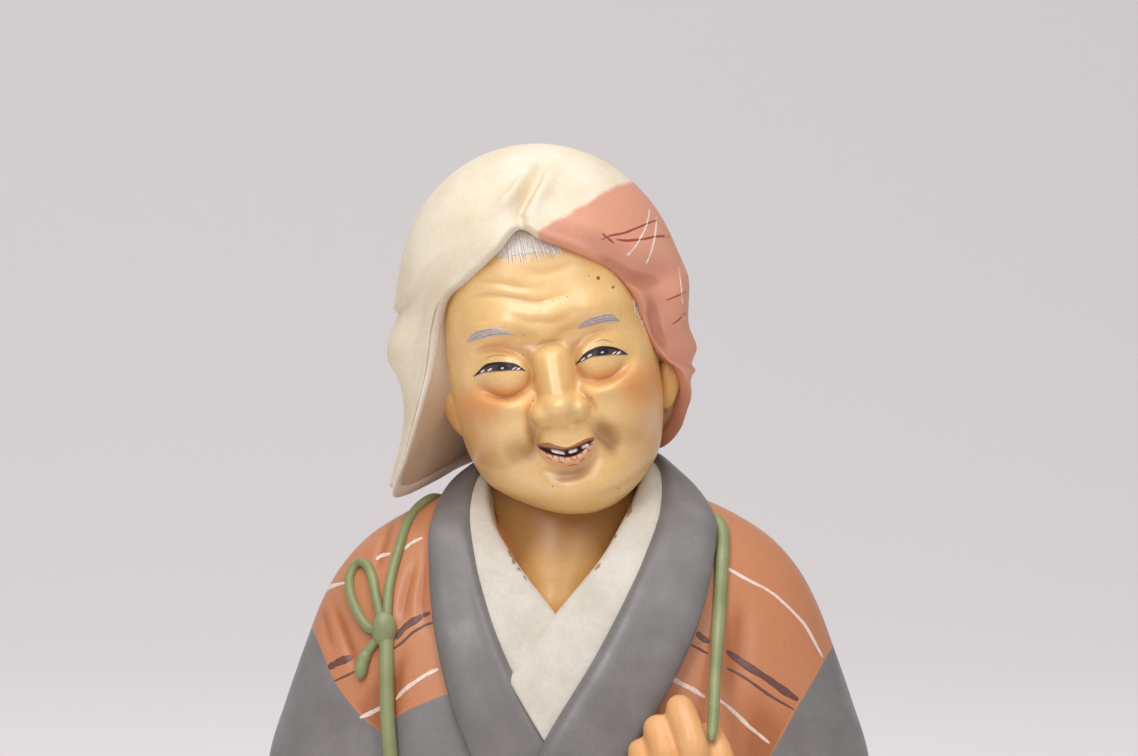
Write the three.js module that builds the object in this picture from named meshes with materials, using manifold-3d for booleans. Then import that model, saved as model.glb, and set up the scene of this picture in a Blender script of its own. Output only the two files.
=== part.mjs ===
// Bust of a painted clay doll in the Hakata manner: a smiling old person in a headscarf,
// with a crossed robe, two hanging cords and one hand. It is one casting with a flat underside.
// +Z is up, the figure faces -Y, and the origin is the middle of the underside.
import * as THREE from "three";
import { mergeVertices } from "three/addons/utils/BufferGeometryUtils.js";
import Module from "manifold-3d";

// Driving dimensions, in millimetres.
const BUST_HEIGHT = 118.3; // underside to the top of the headscarf
const CORD_DIAMETER = 2.2;
const SCARF_THICKNESS = 2.3;
const COLLAR_THICKNESS = 2.0;
const UNDER_COLLAR_THICKNESS = 1.4;
const NECKLINE_DEPTH = 5.2; // how far the robe sinks below the skin inside the neckline

// The free forms keep their proportions: they are drawn on a figure this many shares tall.
const SHARES_TALL = 118.3;
const SHARE = BUST_HEIGHT / SHARES_TALL;
const cordRadius = CORD_DIAMETER / 2 / SHARE;
const scarfWall = SCARF_THICKNESS / SHARE;
const collarWall = COLLAR_THICKNESS / SHARE;
const underCollarWall = UNDER_COLLAR_THICKNESS / SHARE;
const necklineDepth = NECKLINE_DEPTH / SHARE;

// The head's own frame: a to the viewer's right, b up and f forwards, leaning to the left.
const HEAD = { x: -3.5, y: -4, z: 90.15, lean: THREE.MathUtils.degToRad(10.5), scale: 0.985 };
const SCARF_BALL = { a: 0, b: 5.4, f: -1, radius: 22.1, tall: 1.054 };

const { clamp, lerp } = THREE.MathUtils;

function ease(t) {
  const s = clamp(t, 0, 1);
  return s * s * (3 - 2 * s);
}

function signedPower(value, power) {
  return Math.sign(value) * Math.abs(value) ** power;
}

// The greater of two heights, with the seam between them rounded over the width given.
function softMax(first, second, width) {
  const h = clamp(0.5 + (0.5 * (first - second)) / width, 0, 1);
  return lerp(second, first, h) + width * h * (1 - h);
}

// A form on a surface: its middle, half sizes and height, and how full its top is.
function form(x, y, wide, tall, proud, full = 2.4) {
  return { x, y, wide, tall, proud, full };
}

// Elliptical distance from a form's middle, 1 on its edge.
function reach(x, y, { x: x0, y: y0, wide, tall }) {
  return Math.hypot((x - x0) / wide, (y - y0) / tall);
}

// A swelling that fades out on all sides.
function mound(x, y, shape) {
  return shape.proud * Math.exp(-(reach(x, y, shape) ** 2));
}

// A cushion that falls away past its edge.
function cap(x, y, shape) {
  return shape.proud * (1 - reach(x, y, shape) ** shape.full);
}

// Uniform Catmull-Rom through rows of numbers, from 0 at the first row to 1 at the last.
function spline(rows, t, closed = false) {
  const spans = closed ? rows.length : rows.length - 1;
  const at = clamp(t, 0, 1) * spans;
  const i = Math.min(Math.floor(at), spans - 1);
  const s = at - i;
  const row = (k) => (closed ? rows[(k + rows.length) % rows.length] : rows[clamp(k, 0, spans)]);
  return row(i).map((p1, c) => {
    const p2 = row(i + 1)[c];
    const p0 = !closed && i === 0 ? 2 * p1 - p2 : row(i - 1)[c];
    const p3 = !closed && i === spans - 1 ? 2 * p2 - p1 : row(i + 2)[c];
    const bend = (2 * p0 - 5 * p1 + 4 * p2 - p3) * s + (3 * p1 - p0 - 3 * p2 + p3) * s * s;
    return p1 + 0.5 * s * (p2 - p0 + bend);
  });
}

function smoothLine(rows, count) {
  return Array.from({ length: count }, (_, k) => spline(rows, k / (count - 1)));
}

// The other columns of a smooth table at one value of its first column.
function columnsAt(table, value) {
  const order = Math.sign(table.at(-1)[0] - table[0][0]);
  const past = table.findIndex((row) => order * (row[0] - value) >= 0);
  const i = clamp(past < 0 ? table.length - 1 : past, 1, table.length - 1);
  const s = clamp((value - table[i - 1][0]) / (table[i][0] - table[i - 1][0]), 0, 1);
  return table[i].slice(1).map((next, c) => lerp(table[i - 1][c + 1], next, s));
}

// Distance from a point to a line of points, the share of the line passed there,
// and the side it is on: 1 to the left of the line and -1 to its right.
function nearLine(x, y, line) {
  let best = { distance: Infinity, along: 0, side: 1 };
  for (let i = 0; i + 1 < line.length; i += 1) {
    const [x0, y0] = line[i];
    const dx = line[i + 1][0] - x0;
    const dy = line[i + 1][1] - y0;
    const t = clamp(((x - x0) * dx + (y - y0) * dy) / (dx * dx + dy * dy), 0, 1);
    const gapX = x - x0 - t * dx;
    const gapY = y - y0 - t * dy;
    const distance = Math.hypot(gapX, gapY);
    if (distance < best.distance) {
      best = { distance, along: (i + t) / (line.length - 1), side: dx * gapY >= dy * gapX ? 1 : -1 };
    }
  }
  return best;
}

const CREASE_FADE = 0.4;

function groove(line, wide, deep) {
  return { line: smoothLine(line, 4 * line.length), wide, deep };
}

// A valley (or, with a negative depth, a ridge) along a line, fading at both ends.
function crease(x, y, { line, wide, deep }) {
  const { distance, along } = nearLine(x, y, line);
  const ends = ease(along / CREASE_FADE) * ease((1 - along) / CREASE_FADE);
  return -deep * ends * Math.exp(-((distance / wide) ** 2));
}

function creases(x, y, list) {
  return list.reduce((sum, line) => sum + crease(x, y, line), 0);
}

// Solids

const manifold = await Module();
manifold.setup();

// A closed skin from rings of points between two poles, each point in shares of the figure.
function solidFromRings(firstPole, rings, lastPole) {
  const columns = rings[0].length;
  const points = [firstPole, ...rings.flat(), lastPole];
  const corner = (ring, column) => 1 + ring * columns + (column % columns);
  const faces = [];
  for (let c = 0; c < columns; c += 1) {
    faces.push([0, corner(0, c + 1), corner(0, c)]);
    for (let r = 0; r + 1 < rings.length; r += 1) {
      faces.push([corner(r, c), corner(r, c + 1), corner(r + 1, c)]);
      faces.push([corner(r, c + 1), corner(r + 1, c + 1), corner(r + 1, c)]);
    }
    faces.push([points.length - 1, corner(rings.length - 1, c), corner(rings.length - 1, c + 1)]);
  }
  const build = (list) =>
    new manifold.Manifold(
      new manifold.Mesh({
        numProp: 3,
        vertProperties: new Float32Array(points.flat().map((value) => value * SHARE)),
        triVerts: new Uint32Array(list.flat()),
      }),
    );
  const solid = build(faces);
  return solid.volume() > 0 ? solid : build(faces.map(([i, j, k]) => [i, k, j]));
}

function rings(count, columns, pointAt) {
  return Array.from({ length: count }, (_, r) =>
    Array.from({ length: columns }, (_, c) => pointAt(r / (count - 1), c / columns)),
  );
}

function middleOf(ring) {
  return [0, 1, 2].map((k) => ring.reduce((sum, point) => sum + point[k], 0) / ring.length);
}

// A round bar along points, its radius changing along it by a function, with domed ends.
function bar(points, radiusAt, steps, sides, flat = 1) {
  const curve = (t) => new THREE.Vector3(...spline(points, t));
  const made = rings(steps, sides, (t, turn) => {
    const tangent = curve(Math.min(1, t + 0.01)).sub(curve(Math.max(0, t - 0.01))).normalize();
    const front = new THREE.Vector3(0, -1, 0);
    const side = new THREE.Vector3().crossVectors(tangent, front).normalize();
    const up = new THREE.Vector3().crossVectors(side, tangent);
    const radius = radiusAt(t);
    const angle = 2 * Math.PI * turn;
    return curve(t)
      .addScaledVector(side, radius * Math.cos(angle))
      .addScaledVector(up, radius * flat * Math.sin(angle))
      .toArray();
  });
  return solidFromRings(middleOf(made[0]), made, middleOf(made.at(-1)));
}

// Radius that rounds both ends of a bar off over the share of its length given.
function roundedEnds(radius, share) {
  return (t) => radius * Math.sqrt(Math.max(0.04, 1 - Math.max(0, 1 - Math.min(t, 1 - t) / share) ** 2));
}

function ball(centre, radii, steps, sides) {
  const made = rings(steps, sides, (t, turn) => {
    const polar = Math.PI * (0.06 + 0.88 * t);
    const angle = 2 * Math.PI * turn;
    return [
      centre[0] + radii[0] * Math.sin(polar) * Math.cos(angle),
      centre[1] + radii[1] * Math.sin(polar) * Math.sin(angle),
      centre[2] + radii[2] * Math.cos(polar),
    ];
  });
  return solidFromRings(
    [centre[0], centre[1], centre[2] + radii[2]],
    made,
    [centre[0], centre[1], centre[2] - radii[2]],
  );
}

// Head

function fromHead(a, b, f) {
  const { x, y, z, lean, scale } = HEAD;
  return [
    x + scale * (a * Math.cos(lean) - b * Math.sin(lean)),
    y - scale * f,
    z + scale * (a * Math.sin(lean) + b * Math.cos(lean)),
  ];
}

// Height, middle across, half width, reach forwards and reach backwards of skull and jaw.
const headSections = [
  [24, 0, 3, 3, 3],
  [21.5, 0, 9.5, 9, 10],
  [16, 0, 13.7, 13.6, 15],
  [10, 0, 15.3, 15.8, 17.5],
  [4, 0, 16, 16.8, 18],
  [-3, 0, 16.3, 17.1, 17.5],
  [-9, 0, 16.3, 16.9, 15.5],
  [-14, 0, 15.9, 16.4, 12],
  [-18.5, 0, 15, 15.6, 9],
  [-22.5, 0.2, 13.2, 14.8, 7.5],
  [-26, 0.8, 9.4, 13.2, 6],
  [-28.4, 1.4, 5.2, 10.2, 4],
  [-29.2, 1.7, 2, 6.8, 2],
];
const HEAD_SQUARENESS = 2.4;

const BROW = form(7.4, 2.2, 6.5, 2.6, 1.1);
const GLABELLA = form(0, 1.2, 3.2, 2.4, 0.9);
const ORBIT = form(5.2, -1.6, 4.8, 2.2, -1.3);
const INNER_CORNER = form(3.6, -4.3, 1.9, 2.8, -2.6);
const EYE = { x: 7.5, y: -5.1, wide: 4.7, above: 3.6, below: 4.15, low: -0.8, high: 0.8 };
const CHEEK = form(10.2, -12.8, 7.4, 6.3, 2.8, 3);
const CHEEK_TOP = form(6.8, -10.5, 4.4, 1.4, 0.75);
const JOWL = form(8, -21, 4.4, 2.8, -0.8);
const NOSE = { x: 0, top: -2.2, bottom: -14.9, slim: 2.4, broad: 3.7, low: 0.6, high: 6.5, flat: 0.16 };
const NOSE_TIP = form(-0.1, -11.8, 3.8, 3.3, 6.1);
const NOSTRIL = form(2.95, -12.3, 2.1, 2.2, 4.35, 2.2);
const MUZZLE = form(0.2, -16.8, 4.9, 4.6, 2.7, 2.8);
const CHIN = form(0.7, -25.4, 7.6, 4.4, 2.2, 2.2);
// Folds from nose to mouth and chin, and two creases of the brow.
const faceCreases = [
  groove(
    [
      [-4.6, -11.8], [-4.9, -13], [-4.8, -14.8], [-4.8, -16.6], [-5.7, -18.6], [-6.4, -20.6],
    ],
    1.2,
    1,
  ),
  groove([[-5, -16.4], [-7.8, -17.3], [-10.9, -18.2]], 1.9, 0.6),
  groove([[4.6, -12.6], [5, -14.6], [6, -16.3], [7.9, -17.5], [9.8, -18.5], [12, -19.6]], 1.3, 1.2),
  groove([[4.9, -15.4], [6, -17.5], [6.8, -19.4], [6.9, -22.4]], 1.2, 0.7),
  groove(
    [
      [-5.6, -18.4], [-4.2, -20.2], [-2.4, -21.9], [-1, -22.3], [0.6, -22.4], [2.2, -21.8], [4, -20.2],
      [5.4, -18.2],
    ],
    1.2,
    0.8,
  ),
  groove(
    [
      [-13.6, 6.4], [-11.2, 7], [-9.3, 7.1], [-7.4, 6.9], [-4.1, 5.8], [-0.8, 4.6], [0.9, 4.5],
      [4.3, 4.9], [8.6, 5.9],
    ],
    1,
    0.4,
  ),
  groove(
    [
      [-7.6, 4.6], [-5.2, 3.4], [-2.4, 2.1], [-0.6, 1.7], [1.4, 1.4], [3.3, 1.7], [4.9, 2.2],
      [7.4, 2.9],
    ],
    1.1,
    0.4,
  ),
];

// Lower edge of the upper lip, upper edge of the lower lip, and the lower lip's foot.
const MOUTH = { left: -4.7, right: 4.5, fade: 1, deep: 1.1, soft: 0.7, lip: 1, edge: 0.25, brim: 0.8 };
const lipLines = [
  [
    [-4.6, -16.9], [-3.7, -17.3], [-2.8, -17.6], [-1.6, -18], [-0.3, -18.3], [1.6, -18.1], [2.8, -17.8],
    [4.4, -17.5],
  ],
  [
    [-4.6, -17.1], [-4.1, -17.7], [-2.8, -18.6], [-1.8, -19], [-0.4, -19.5], [0.9, -19.5], [2.1, -19.1],
    [3.5, -18.2], [4.4, -17.7],
  ],
  [
    [-4.7, -17.8], [-3.9, -19.2], [-2.9, -20.2], [-1.6, -20.9], [-0.2, -21.1], [1.3, -21], [2.6, -20.5],
    [3.7, -19.7], [4.5, -18.4],
  ],
].map((line) => smoothLine(line, 40));

function noseHeight(a, b) {
  const down = clamp((NOSE.top - b) / (NOSE.top - NOSE.bottom), 0, 1);
  const across = Math.abs(a - NOSE.x) / lerp(NOSE.slim, NOSE.broad, down);
  const ends = ease((b - NOSE.bottom - 0.4) / 3.4) * ease((NOSE.top + 1.2 - b) / 3);
  const sides = 1 - 1.6 * ease((across - NOSE.flat) / 1.35);
  const ridge = lerp(-1, Math.max(-3, lerp(NOSE.low, NOSE.high, down) * sides), ends);
  const tip = softMax(ridge, cap(a, b, NOSE_TIP), 1);
  return softMax(tip, cap(Math.abs(a - NOSE.x), b, NOSTRIL), 1.7);
}

function mouthHeight(a, b) {
  const [[top], [low], [foot]] = lipLines.map((line) => columnsAt(line, a));
  const inside = ease((a - MOUTH.left) / MOUTH.fade) * ease((MOUTH.right - a) / MOUTH.fade);
  const up = clamp((b - foot) / Math.max(low - foot, 0.05), -0.6, 1.6);
  const round = clamp(1 - (2 * up - 1.1) ** 2, 0, 1) ** 0.6;
  const corners = ease((a - MOUTH.left) / 2) * ease((MOUTH.right - a) / 2);
  const hole = MOUTH.deep * ease((top - b) / MOUTH.soft) * ease((b - low) / MOUTH.soft);
  const edge = MOUTH.edge * Math.exp(-(((b - top - 0.3) / MOUTH.brim) ** 2));
  return MOUTH.lip * round * corners + (edge - hole) * inside;
}

// How far the features stand out of the plain head, at a place on the front of the face.
function faceRelief(a, b) {
  const side = Math.abs(a);
  const hollows = [ORBIT, INNER_CORNER, BROW, JOWL].reduce((sum, shape) => sum + mound(side, b, shape), 0);
  let skin = hollows + mound(a, b, GLABELLA);
  skin = softMax(skin, cap(side, b, CHEEK), 0.9) + mound(side, b, CHEEK_TOP);
  const upper = b > EYE.y;
  const q = Math.hypot((side - EYE.x) / EYE.wide, (b - EYE.y) / (upper ? EYE.above : EYE.below));
  const eye = EYE.low + (EYE.high - EYE.low) * (1 - Math.min(q, 2) ** 2.4);
  const soft = upper ? 0.8 : 0.45;
  skin = lerp(eye, skin, ease((q - 1 + soft / 2) / soft));
  skin = softMax(skin, cap(a, b, MUZZLE), 0.6);
  skin = softMax(skin, cap(a, b, CHIN), 1.8);
  skin = softMax(skin, noseHeight(a, b), 0.6);
  return skin + creases(a, b, faceCreases) + mouthHeight(a, b);
}

function headPoint(t, turn) {
  // Rings and columns lie closest together over the features of the face.
  const [b, middle, half, front, back] = spline(headSections, t + 0.07 * Math.sin(2 * Math.PI * t));
  const round = 2 * Math.PI * (turn - 0.5);
  const angle = round - 0.72 * Math.sin(round);
  const power = 2 / HEAD_SQUARENESS;
  const forwards = Math.cos(angle);
  const a = middle + half * signedPower(Math.sin(angle), power);
  const f = (forwards > 0 ? front : back) * signedPower(forwards, power);
  return fromHead(a, b, f + faceRelief(a, b) * ease((forwards + 0.05) / 0.4));
}

function makeHead() {
  const made = rings(38, 42, headPoint);
  return solidFromRings(fromHead(0, 24.6, 0), made, fromHead(1.8, -29.3, 2));
}

function makeEar(side) {
  const [a0, b0] = side < 0 ? [-15.9, -10.4] : [17.1, -11.4];
  const made = rings(5, 9, (t, turn) => {
    const polar = Math.PI * (0.06 + 0.88 * t);
    const angle = 2 * Math.PI * turn;
    return fromHead(
      a0 + side * (1.9 * Math.sin(polar) * Math.cos(angle) + 0.9 * Math.cos(polar)),
      b0 + 4.3 * Math.cos(polar),
      1.5 + 2.2 * Math.sin(polar) * Math.sin(angle),
    );
  });
  return solidFromRings(middleOf(made[0]), made, middleOf(made.at(-1)));
}

// Headscarf

const SCARF_POLE = new THREE.Vector3(0, 0.12, -1).normalize();
const scarfCentre = new THREE.Vector3(SCARF_BALL.a, SCARF_BALL.b, SCARF_BALL.f);
const scarfStretch = new THREE.Vector3(1, SCARF_BALL.tall, 1);
// The front edge and the hem: a, b and f of points from the brow, by the left tip and the
// nape, to the right side and back.
const scarfRim = [
  [-1.2, 16.9, 17.2],
  [-5.4, 13.7, 17.4],
  [-11.2, 10, 15],
  [-15, 7.6, 12.2],
  [-17.3, 3.4, 9.8],
  [-19.3, -2.7, 8.6],
  [-21.4, -7.4, 8.4],
  [-23.8, -12.4, 7.8],
  [-26.1, -17.4, 6],
  [-27.4, -21.2, 2.5],
  [-21.2, -20.6, -6],
  [-14.5, -19.4, -13],
  [0, -19, -18],
  [9.5, -21, -12.5],
  [14.2, -22.2, -6],
  [17.4, -18.6, -1.6],
  [19, -14.4, 1.4],
  [19.4, -10.6, 4.6],
  [17.6, -7.8, 6.8],
  [16.6, -2.6, 9.6],
  [15.2, 3.2, 12.4],
  [12.5, 7.6, 14.6],
  [7.2, 11.4, 16.9],
  [1.7, 14.7, 17.6],
];
// Where the crown's cloth folds over the left flap.
const flapFold = smoothLine(
  [
    [-11.4, 15], [-15, 12.5], [-17.7, 9.8], [-19.6, 8.3], [-21.2, 7], [-23.4, 5.4], [-26, 3.4],
  ],
  32,
);
const scarfFolds = [
  groove(
    [
      [-3.2, 11.5], [-1.2, 16.6], [0.2, 19.4], [2.2, 21.8], [3.5, 23.9], [5.2, 25.4], [8.2, 27.2],
    ],
    1,
    1.7,
  ),
  groove([[-6.4, 17], [-3.4, 18.9], [-1.2, 20.4], [0.8, 22.6], [2.6, 25.6]], 1, -0.8),
  groove([[-0.4, 12], [1.6, 18.2], [3.2, 20.6], [4.8, 23], [7.4, 25.6]], 1.1, -1),
  groove([[-1.5, 19.4], [-0.8, 17.6], [-0.2, 16.2], [0.8, 14.6]], 0.5, 0.6),
  groove([[7, 12.6], [9.4, 10.6], [11.6, 8.3], [13.8, 6], [16.2, 4.8], [19.2, 4.2], [21.6, 4.2]], 1.5, 1.5),
  groove([[14.4, 6.5], [16.6, 1.5], [16.7, -1.5], [16.8, -4], [17.4, -6.4], [18.6, -8.2]], 1.2, 1.5),
  groove([[18.6, 7.4], [20, 3.6], [19.4, 0.4], [19.2, -2.6], [19.8, -5.6], [21, -8.2]], 1.2, -0.9),
  groove([[0.2, 17], [6.5, 14.2], [12.6, 10.8], [17.5, 7.6], [22, 5.4]], 1.9, -0.8),
  groove(
    [
      [-12.4, 13.6], [-16.5, 8.6], [-19.3, 3], [-20.7, -1], [-23.4, -9], [-25.2, -13.6], [-27.4, -19],
    ],
    0.9,
    0.6,
  ),
];
// How far the cloth swells at heights on either side.
const leftSwell = smoothLine(
  [
    [20, 0], [12, -0.5], [6.8, 0], [4, 1.7], [1, 3.6], [-2, 4], [-6, 2.6], [-10, 2.2], [-13.5, 3],
    [-17.5, 5], [-20.5, 1], [-28, 0],
  ],
  60,
);
const rightSwell = smoothLine(
  [
    [20, 0], [10, 0.2], [6.5, 0.6], [3.5, 1.2], [-0.5, 1.1], [-3.8, 1.4], [-6.2, 3.5], [-8.4, 3.5],
    [-11, 1.9], [-14, 1.4], [-17, 1], [-21, 1.5], [-28, 0],
  ],
  60,
);
const LIP_ROUND = 1.1; // how far the rounded lip of the cloth stands out of its edge
const RECESS = 1.5; // how far the inside lies behind the lip

// Folds, and the crown's edge standing over the flap.
function scarfRelief(a, b) {
  const fold = nearLine(a, b, flapFold);
  const ends = ease(fold.along / 0.3) * ease((1 - fold.along) / 0.25);
  const above = ends * ease(0.5 - (fold.side * fold.distance) / 0.6);
  const behind = fold.side < 0 ? Math.exp(-((fold.distance / 5) ** 2)) : 1;
  return creases(a, b, scarfFolds) + 0.9 * above * behind;
}

function scarfSwell(a, b) {
  const [left] = columnsAt(leftSwell, b);
  const [right] = columnsAt(rightSwell, b);
  return left * ease((-a - 13) / 7) + right * ease((a - 13) / 7);
}

// Stations of the cloth from the pole at the back to its edge, around the lip, and back inside.
const SCARF_EDGE = 0.62;
const SCARF_INSIDE = 0.7;
const scarfStations = [
  0.05, 0.13, 0.21, 0.29, 0.35, 0.4, 0.44, 0.48, 0.51, 0.54, 0.57, 0.595, 0.62, 0.64, 0.68, 0.7, 0.76,
  0.86, 1,
];

function scarfPoint(t, turn) {
  const rim = spline(scarfRim, turn, true);
  const toward = new THREE.Vector3(...rim).sub(scarfCentre).divide(scarfStretch);
  const rimRadius = toward.length();
  const axis = new THREE.Vector3().crossVectors(SCARF_POLE, toward).normalize();
  const spread = toward.angleTo(SCARF_POLE);
  const outer = clamp(t / SCARF_EDGE, 0, 1);
  const lip = clamp((t - SCARF_EDGE) / (SCARF_INSIDE - SCARF_EDGE), 0, 1);
  const inner = clamp((t - SCARF_INSIDE) / (1 - SCARF_INSIDE), 0, 1);
  const flare = 9 - 6.8 * ease((rimRadius - SCARF_BALL.radius) / 3);
  const outside = lerp(SCARF_BALL.radius, rimRadius, outer ** flare);
  const at = (angle, radius) => {
    const heading = SCARF_POLE.clone().applyAxisAngle(axis, angle);
    return heading.multiplyScalar(radius).multiply(scarfStretch).add(scarfCentre);
  };
  const place = at(spread * outer, outside);
  const turnedIn = 0.5 - 0.5 * Math.cos(Math.PI * lip);
  const round = LIP_ROUND * (Math.sin(Math.PI * lip) ** 0.6 - ease(outer / 0.5));
  const rolled = (round - RECESS * ease(inner / 0.3)) / rimRadius;
  const held = ease((outer - 0.84) / 0.16) * ease((rim[2] - 1) / 6);
  const swell = scarfSwell(place.x, place.y) * (1 - held);
  const relief = scarfRelief(place.x, place.y) * (1 - turnedIn) + swell;
  const proud = relief * ease((place.z + 10) / 10) - scarfWall * turnedIn;
  return fromHead(...at(spread * outer + rolled, (outside + proud) * (1 - 0.88 * inner)).toArray());
}

function makeScarf() {
  const made = rings(scarfStations.length, 46, (t, turn) =>
    scarfPoint(scarfStations[Math.round(t * (scarfStations.length - 1))], turn),
  );
  return solidFromRings(middleOf(made[0]), made, middleOf(made.at(-1)));
}

// Body

// Height, half width, reach forwards and reach backwards of the robe.
const robeSections = [
  [0, 47.6, 25, 25],
  [12, 47.4, 24.6, 25],
  [24, 46.2, 23.8, 24.8],
  [32.6, 43.6, 22.6, 24.2],
  [41.8, 40.4, 20.4, 23],
  [48, 38, 18.4, 21.4],
  [53, 35.2, 16.2, 19.6],
  [57.5, 31.2, 13.4, 17.4],
  [61, 26, 10.4, 15],
  [63.8, 20, 7.6, 12.6],
  [66.5, 12, 5, 9],
  [68, 5, 2.5, 4],
];
const ROBE_SQUARENESS = 2.3;
const robeFolds = [
  groove([[-31, 2], [-30.5, 16], [-29, 30], [-27, 42]], 3.2, 1.8),
  groove([[32, 2], [31.5, 14], [30.5, 24], [27, 40]], 3.2, 1.8),
  groove([[-38, 10], [-37, 22], [-34, 36]], 2.4, 1),
  groove([[39, 8], [37.5, 20], [33, 38]], 2.4, 1),
  groove([[-24, 34], [-25, 44], [-24.5, 54]], 2, 0.7),
  groove([[-37.2, 51], [-35.3, 46.7], [-33.9, 43.4], [-31.6, 36]], 1.6, 0.6),
  groove([[24, 32], [25.5, 42], [26, 52]], 2, 0.7),
];
const NECKLINE = { x: -1, low: 47, high: 64, half: 11 };
const robeTable = smoothLine(robeSections, 120);

function robeFront(x, z) {
  const [half, front] = columnsAt(robeTable, z);
  const rest = Math.max(0, 1 - Math.abs(x / half) ** ROBE_SQUARENESS);
  return -front * rest ** (1 / ROBE_SQUARENESS);
}

function necklineDip(x, z) {
  const rise = clamp((z - NECKLINE.low) / (NECKLINE.high - NECKLINE.low), 0, 1.2);
  const inside = NECKLINE.half * rise ** 0.8 - Math.abs(x - NECKLINE.x);
  return necklineDepth * ease((inside + 2.5) / 2.5) * ease(rise / 0.1);
}

function robePoint(t, turn) {
  const [z, half, front, back] = spline(robeSections, t);
  const angle = 2 * Math.PI * (turn - 0.5);
  const power = 2 / ROBE_SQUARENESS;
  const forwards = Math.cos(angle);
  const x = half * signedPower(Math.sin(angle), power);
  const reach = forwards > 0 ? front : back;
  const folds = creases(x, z, robeFolds);
  const dip = forwards > 0 ? necklineDip(x, z) : 0;
  const y = -reach * signedPower(forwards, power) - (folds - dip) * ease((forwards + 0.1) / 0.4);
  return [x, y, z];
}

function makeRobe() {
  const made = rings(18, 42, robePoint);
  return solidFromRings([0, 0, 0], made, [0, 0, robeSections.at(-1)[0] + 0.5]);
}

// Height, middle across, half width, reach forwards and backwards of the neck and the breast.
const neckSections = [
  [40, -2, 6, 13, 4],
  [47, -2, 8, 16.2, 5],
  [52, -1.6, 10.5, 15, 6],
  [57, -1, 12, 12.6, 7],
  [62, -0.6, 12, 10.8, 7.6],
  [68, -0.8, 11.4, 9.8, 8],
  [78, -1.6, 10.4, 9, 8],
];

function makeNeck() {
  const made = rings(8, 16, (t, turn) => {
    const [z, middle, half, front, back] = spline(neckSections, t);
    const angle = 2 * Math.PI * turn;
    const forwards = Math.sin(angle);
    return [middle + half * Math.cos(angle), -forwards * (forwards > 0 ? front : back), z];
  });
  return solidFromRings(middleOf(made[0]), made, middleOf(made.at(-1)));
}

// Collars: the inner and outer edges of each band, x, y and z of points from the bottom of the
// left end, over the shoulder, behind the neck and down to the right end. A y of null lies on
// the robe. The right end crosses in front of the left one.
const greyInner = [
  [5, null, 16],
  [-3.3, null, 29.6],
  [-8, null, 38.3],
  [-11, null, 45.6],
  [-13.2, null, 53],
  [-14.2, null, 60],
  [-12.6, 2, 68],
  [-6, 9, 69.6],
  [6, 9, 69.6],
  [12.8, 2, 69],
  [13.2, null, 62.5],
  [10.8, null, 55.5],
  [7.8, null, 49],
  [3.4, null, 40.8],
  [-3.2, null, 30.1],
  [-12, null, 14],
];
const greyOuter = [
  [-8, null, 12],
  [-15.6, null, 28.4],
  [-18.4, null, 36.6],
  [-20.2, null, 45],
  [-20.9, null, 53],
  [-20.6, null, 60],
  [-16.4, 4, 65],
  [-7.5, 12.4, 65.8],
  [7.5, 12.4, 65.8],
  [16.4, 4, 65],
  [21.6, null, 60.6],
  [21.2, null, 53.5],
  [18.6, null, 44.4],
  [14.2, null, 35.4],
  [8.6, null, 25.2],
  [0, null, 8],
];
const whiteInner = [
  [4, null, 38],
  [-2.2, null, 47.6],
  [-6.2, null, 52.6],
  [-9.2, null, 56.8],
  [-11.6, null, 61.4],
  [-11.6, -1, 67],
  [-6, 8.4, 71],
  [6, 8.4, 71],
  [11, -1, 69],
  [9.8, null, 64],
  [8, null, 60.7],
  [4.6, null, 55.2],
  [-2, null, 47.4],
  [-9, null, 38],
];
const whiteOuter = [
  [-4, null, 31],
  [-9, null, 39],
  [-12.4, null, 46],
  [-14.6, null, 54],
  [-15.4, null, 61],
  [-13.6, 1, 66],
  [-7, 11, 69],
  [7, 11, 69],
  [13.6, 1, 67],
  [14, null, 62],
  [11.8, null, 55],
  [8.6, null, 48],
  [2, null, 36],
  [-3, null, 28],
];

function onRobe([x, y, z], proud) {
  return y === null ? [x, robeFront(x, z) - proud, z] : [x, y, z];
}

const SHOULDER_HEIGHT = 37; // bands face straight forwards at this height and upwards above it

// A band between two edges with rounded lips, standing proud of the robe.
function makeBand(inner, outer, wall, lift, overlap) {
  const sides = 6;
  const made = rings(26, sides, (t, turn) => {
    const near = spline(inner.map((point) => onRobe(point, 0)), t);
    const far = spline(outer.map((point) => onRobe(point, 0)), t);
    const across = new THREE.Vector3(...far).sub(new THREE.Vector3(...near));
    const middle = new THREE.Vector3(...near).addScaledVector(across, 0.5);
    const rise = 0.35 * (middle.z - SHOULDER_HEIGHT);
    const front = new THREE.Vector3(0.35 * middle.x, middle.y, rise).normalize();
    const angle = 2 * Math.PI * turn;
    const lean = signedPower(Math.cos(angle), 0.55);
    const out = signedPower(Math.sin(angle), 0.7);
    const raised = lift + overlap * ease((t - 0.62) / 0.2);
    return middle
      .addScaledVector(across, 0.5 * lean)
      .addScaledVector(front, raised + wall * (out > 0 ? out : 2.2 * out))
      .toArray();
  });
  return solidFromRings(middleOf(made[0]), made, middleOf(made.at(-1)));
}

// Cords

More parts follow.
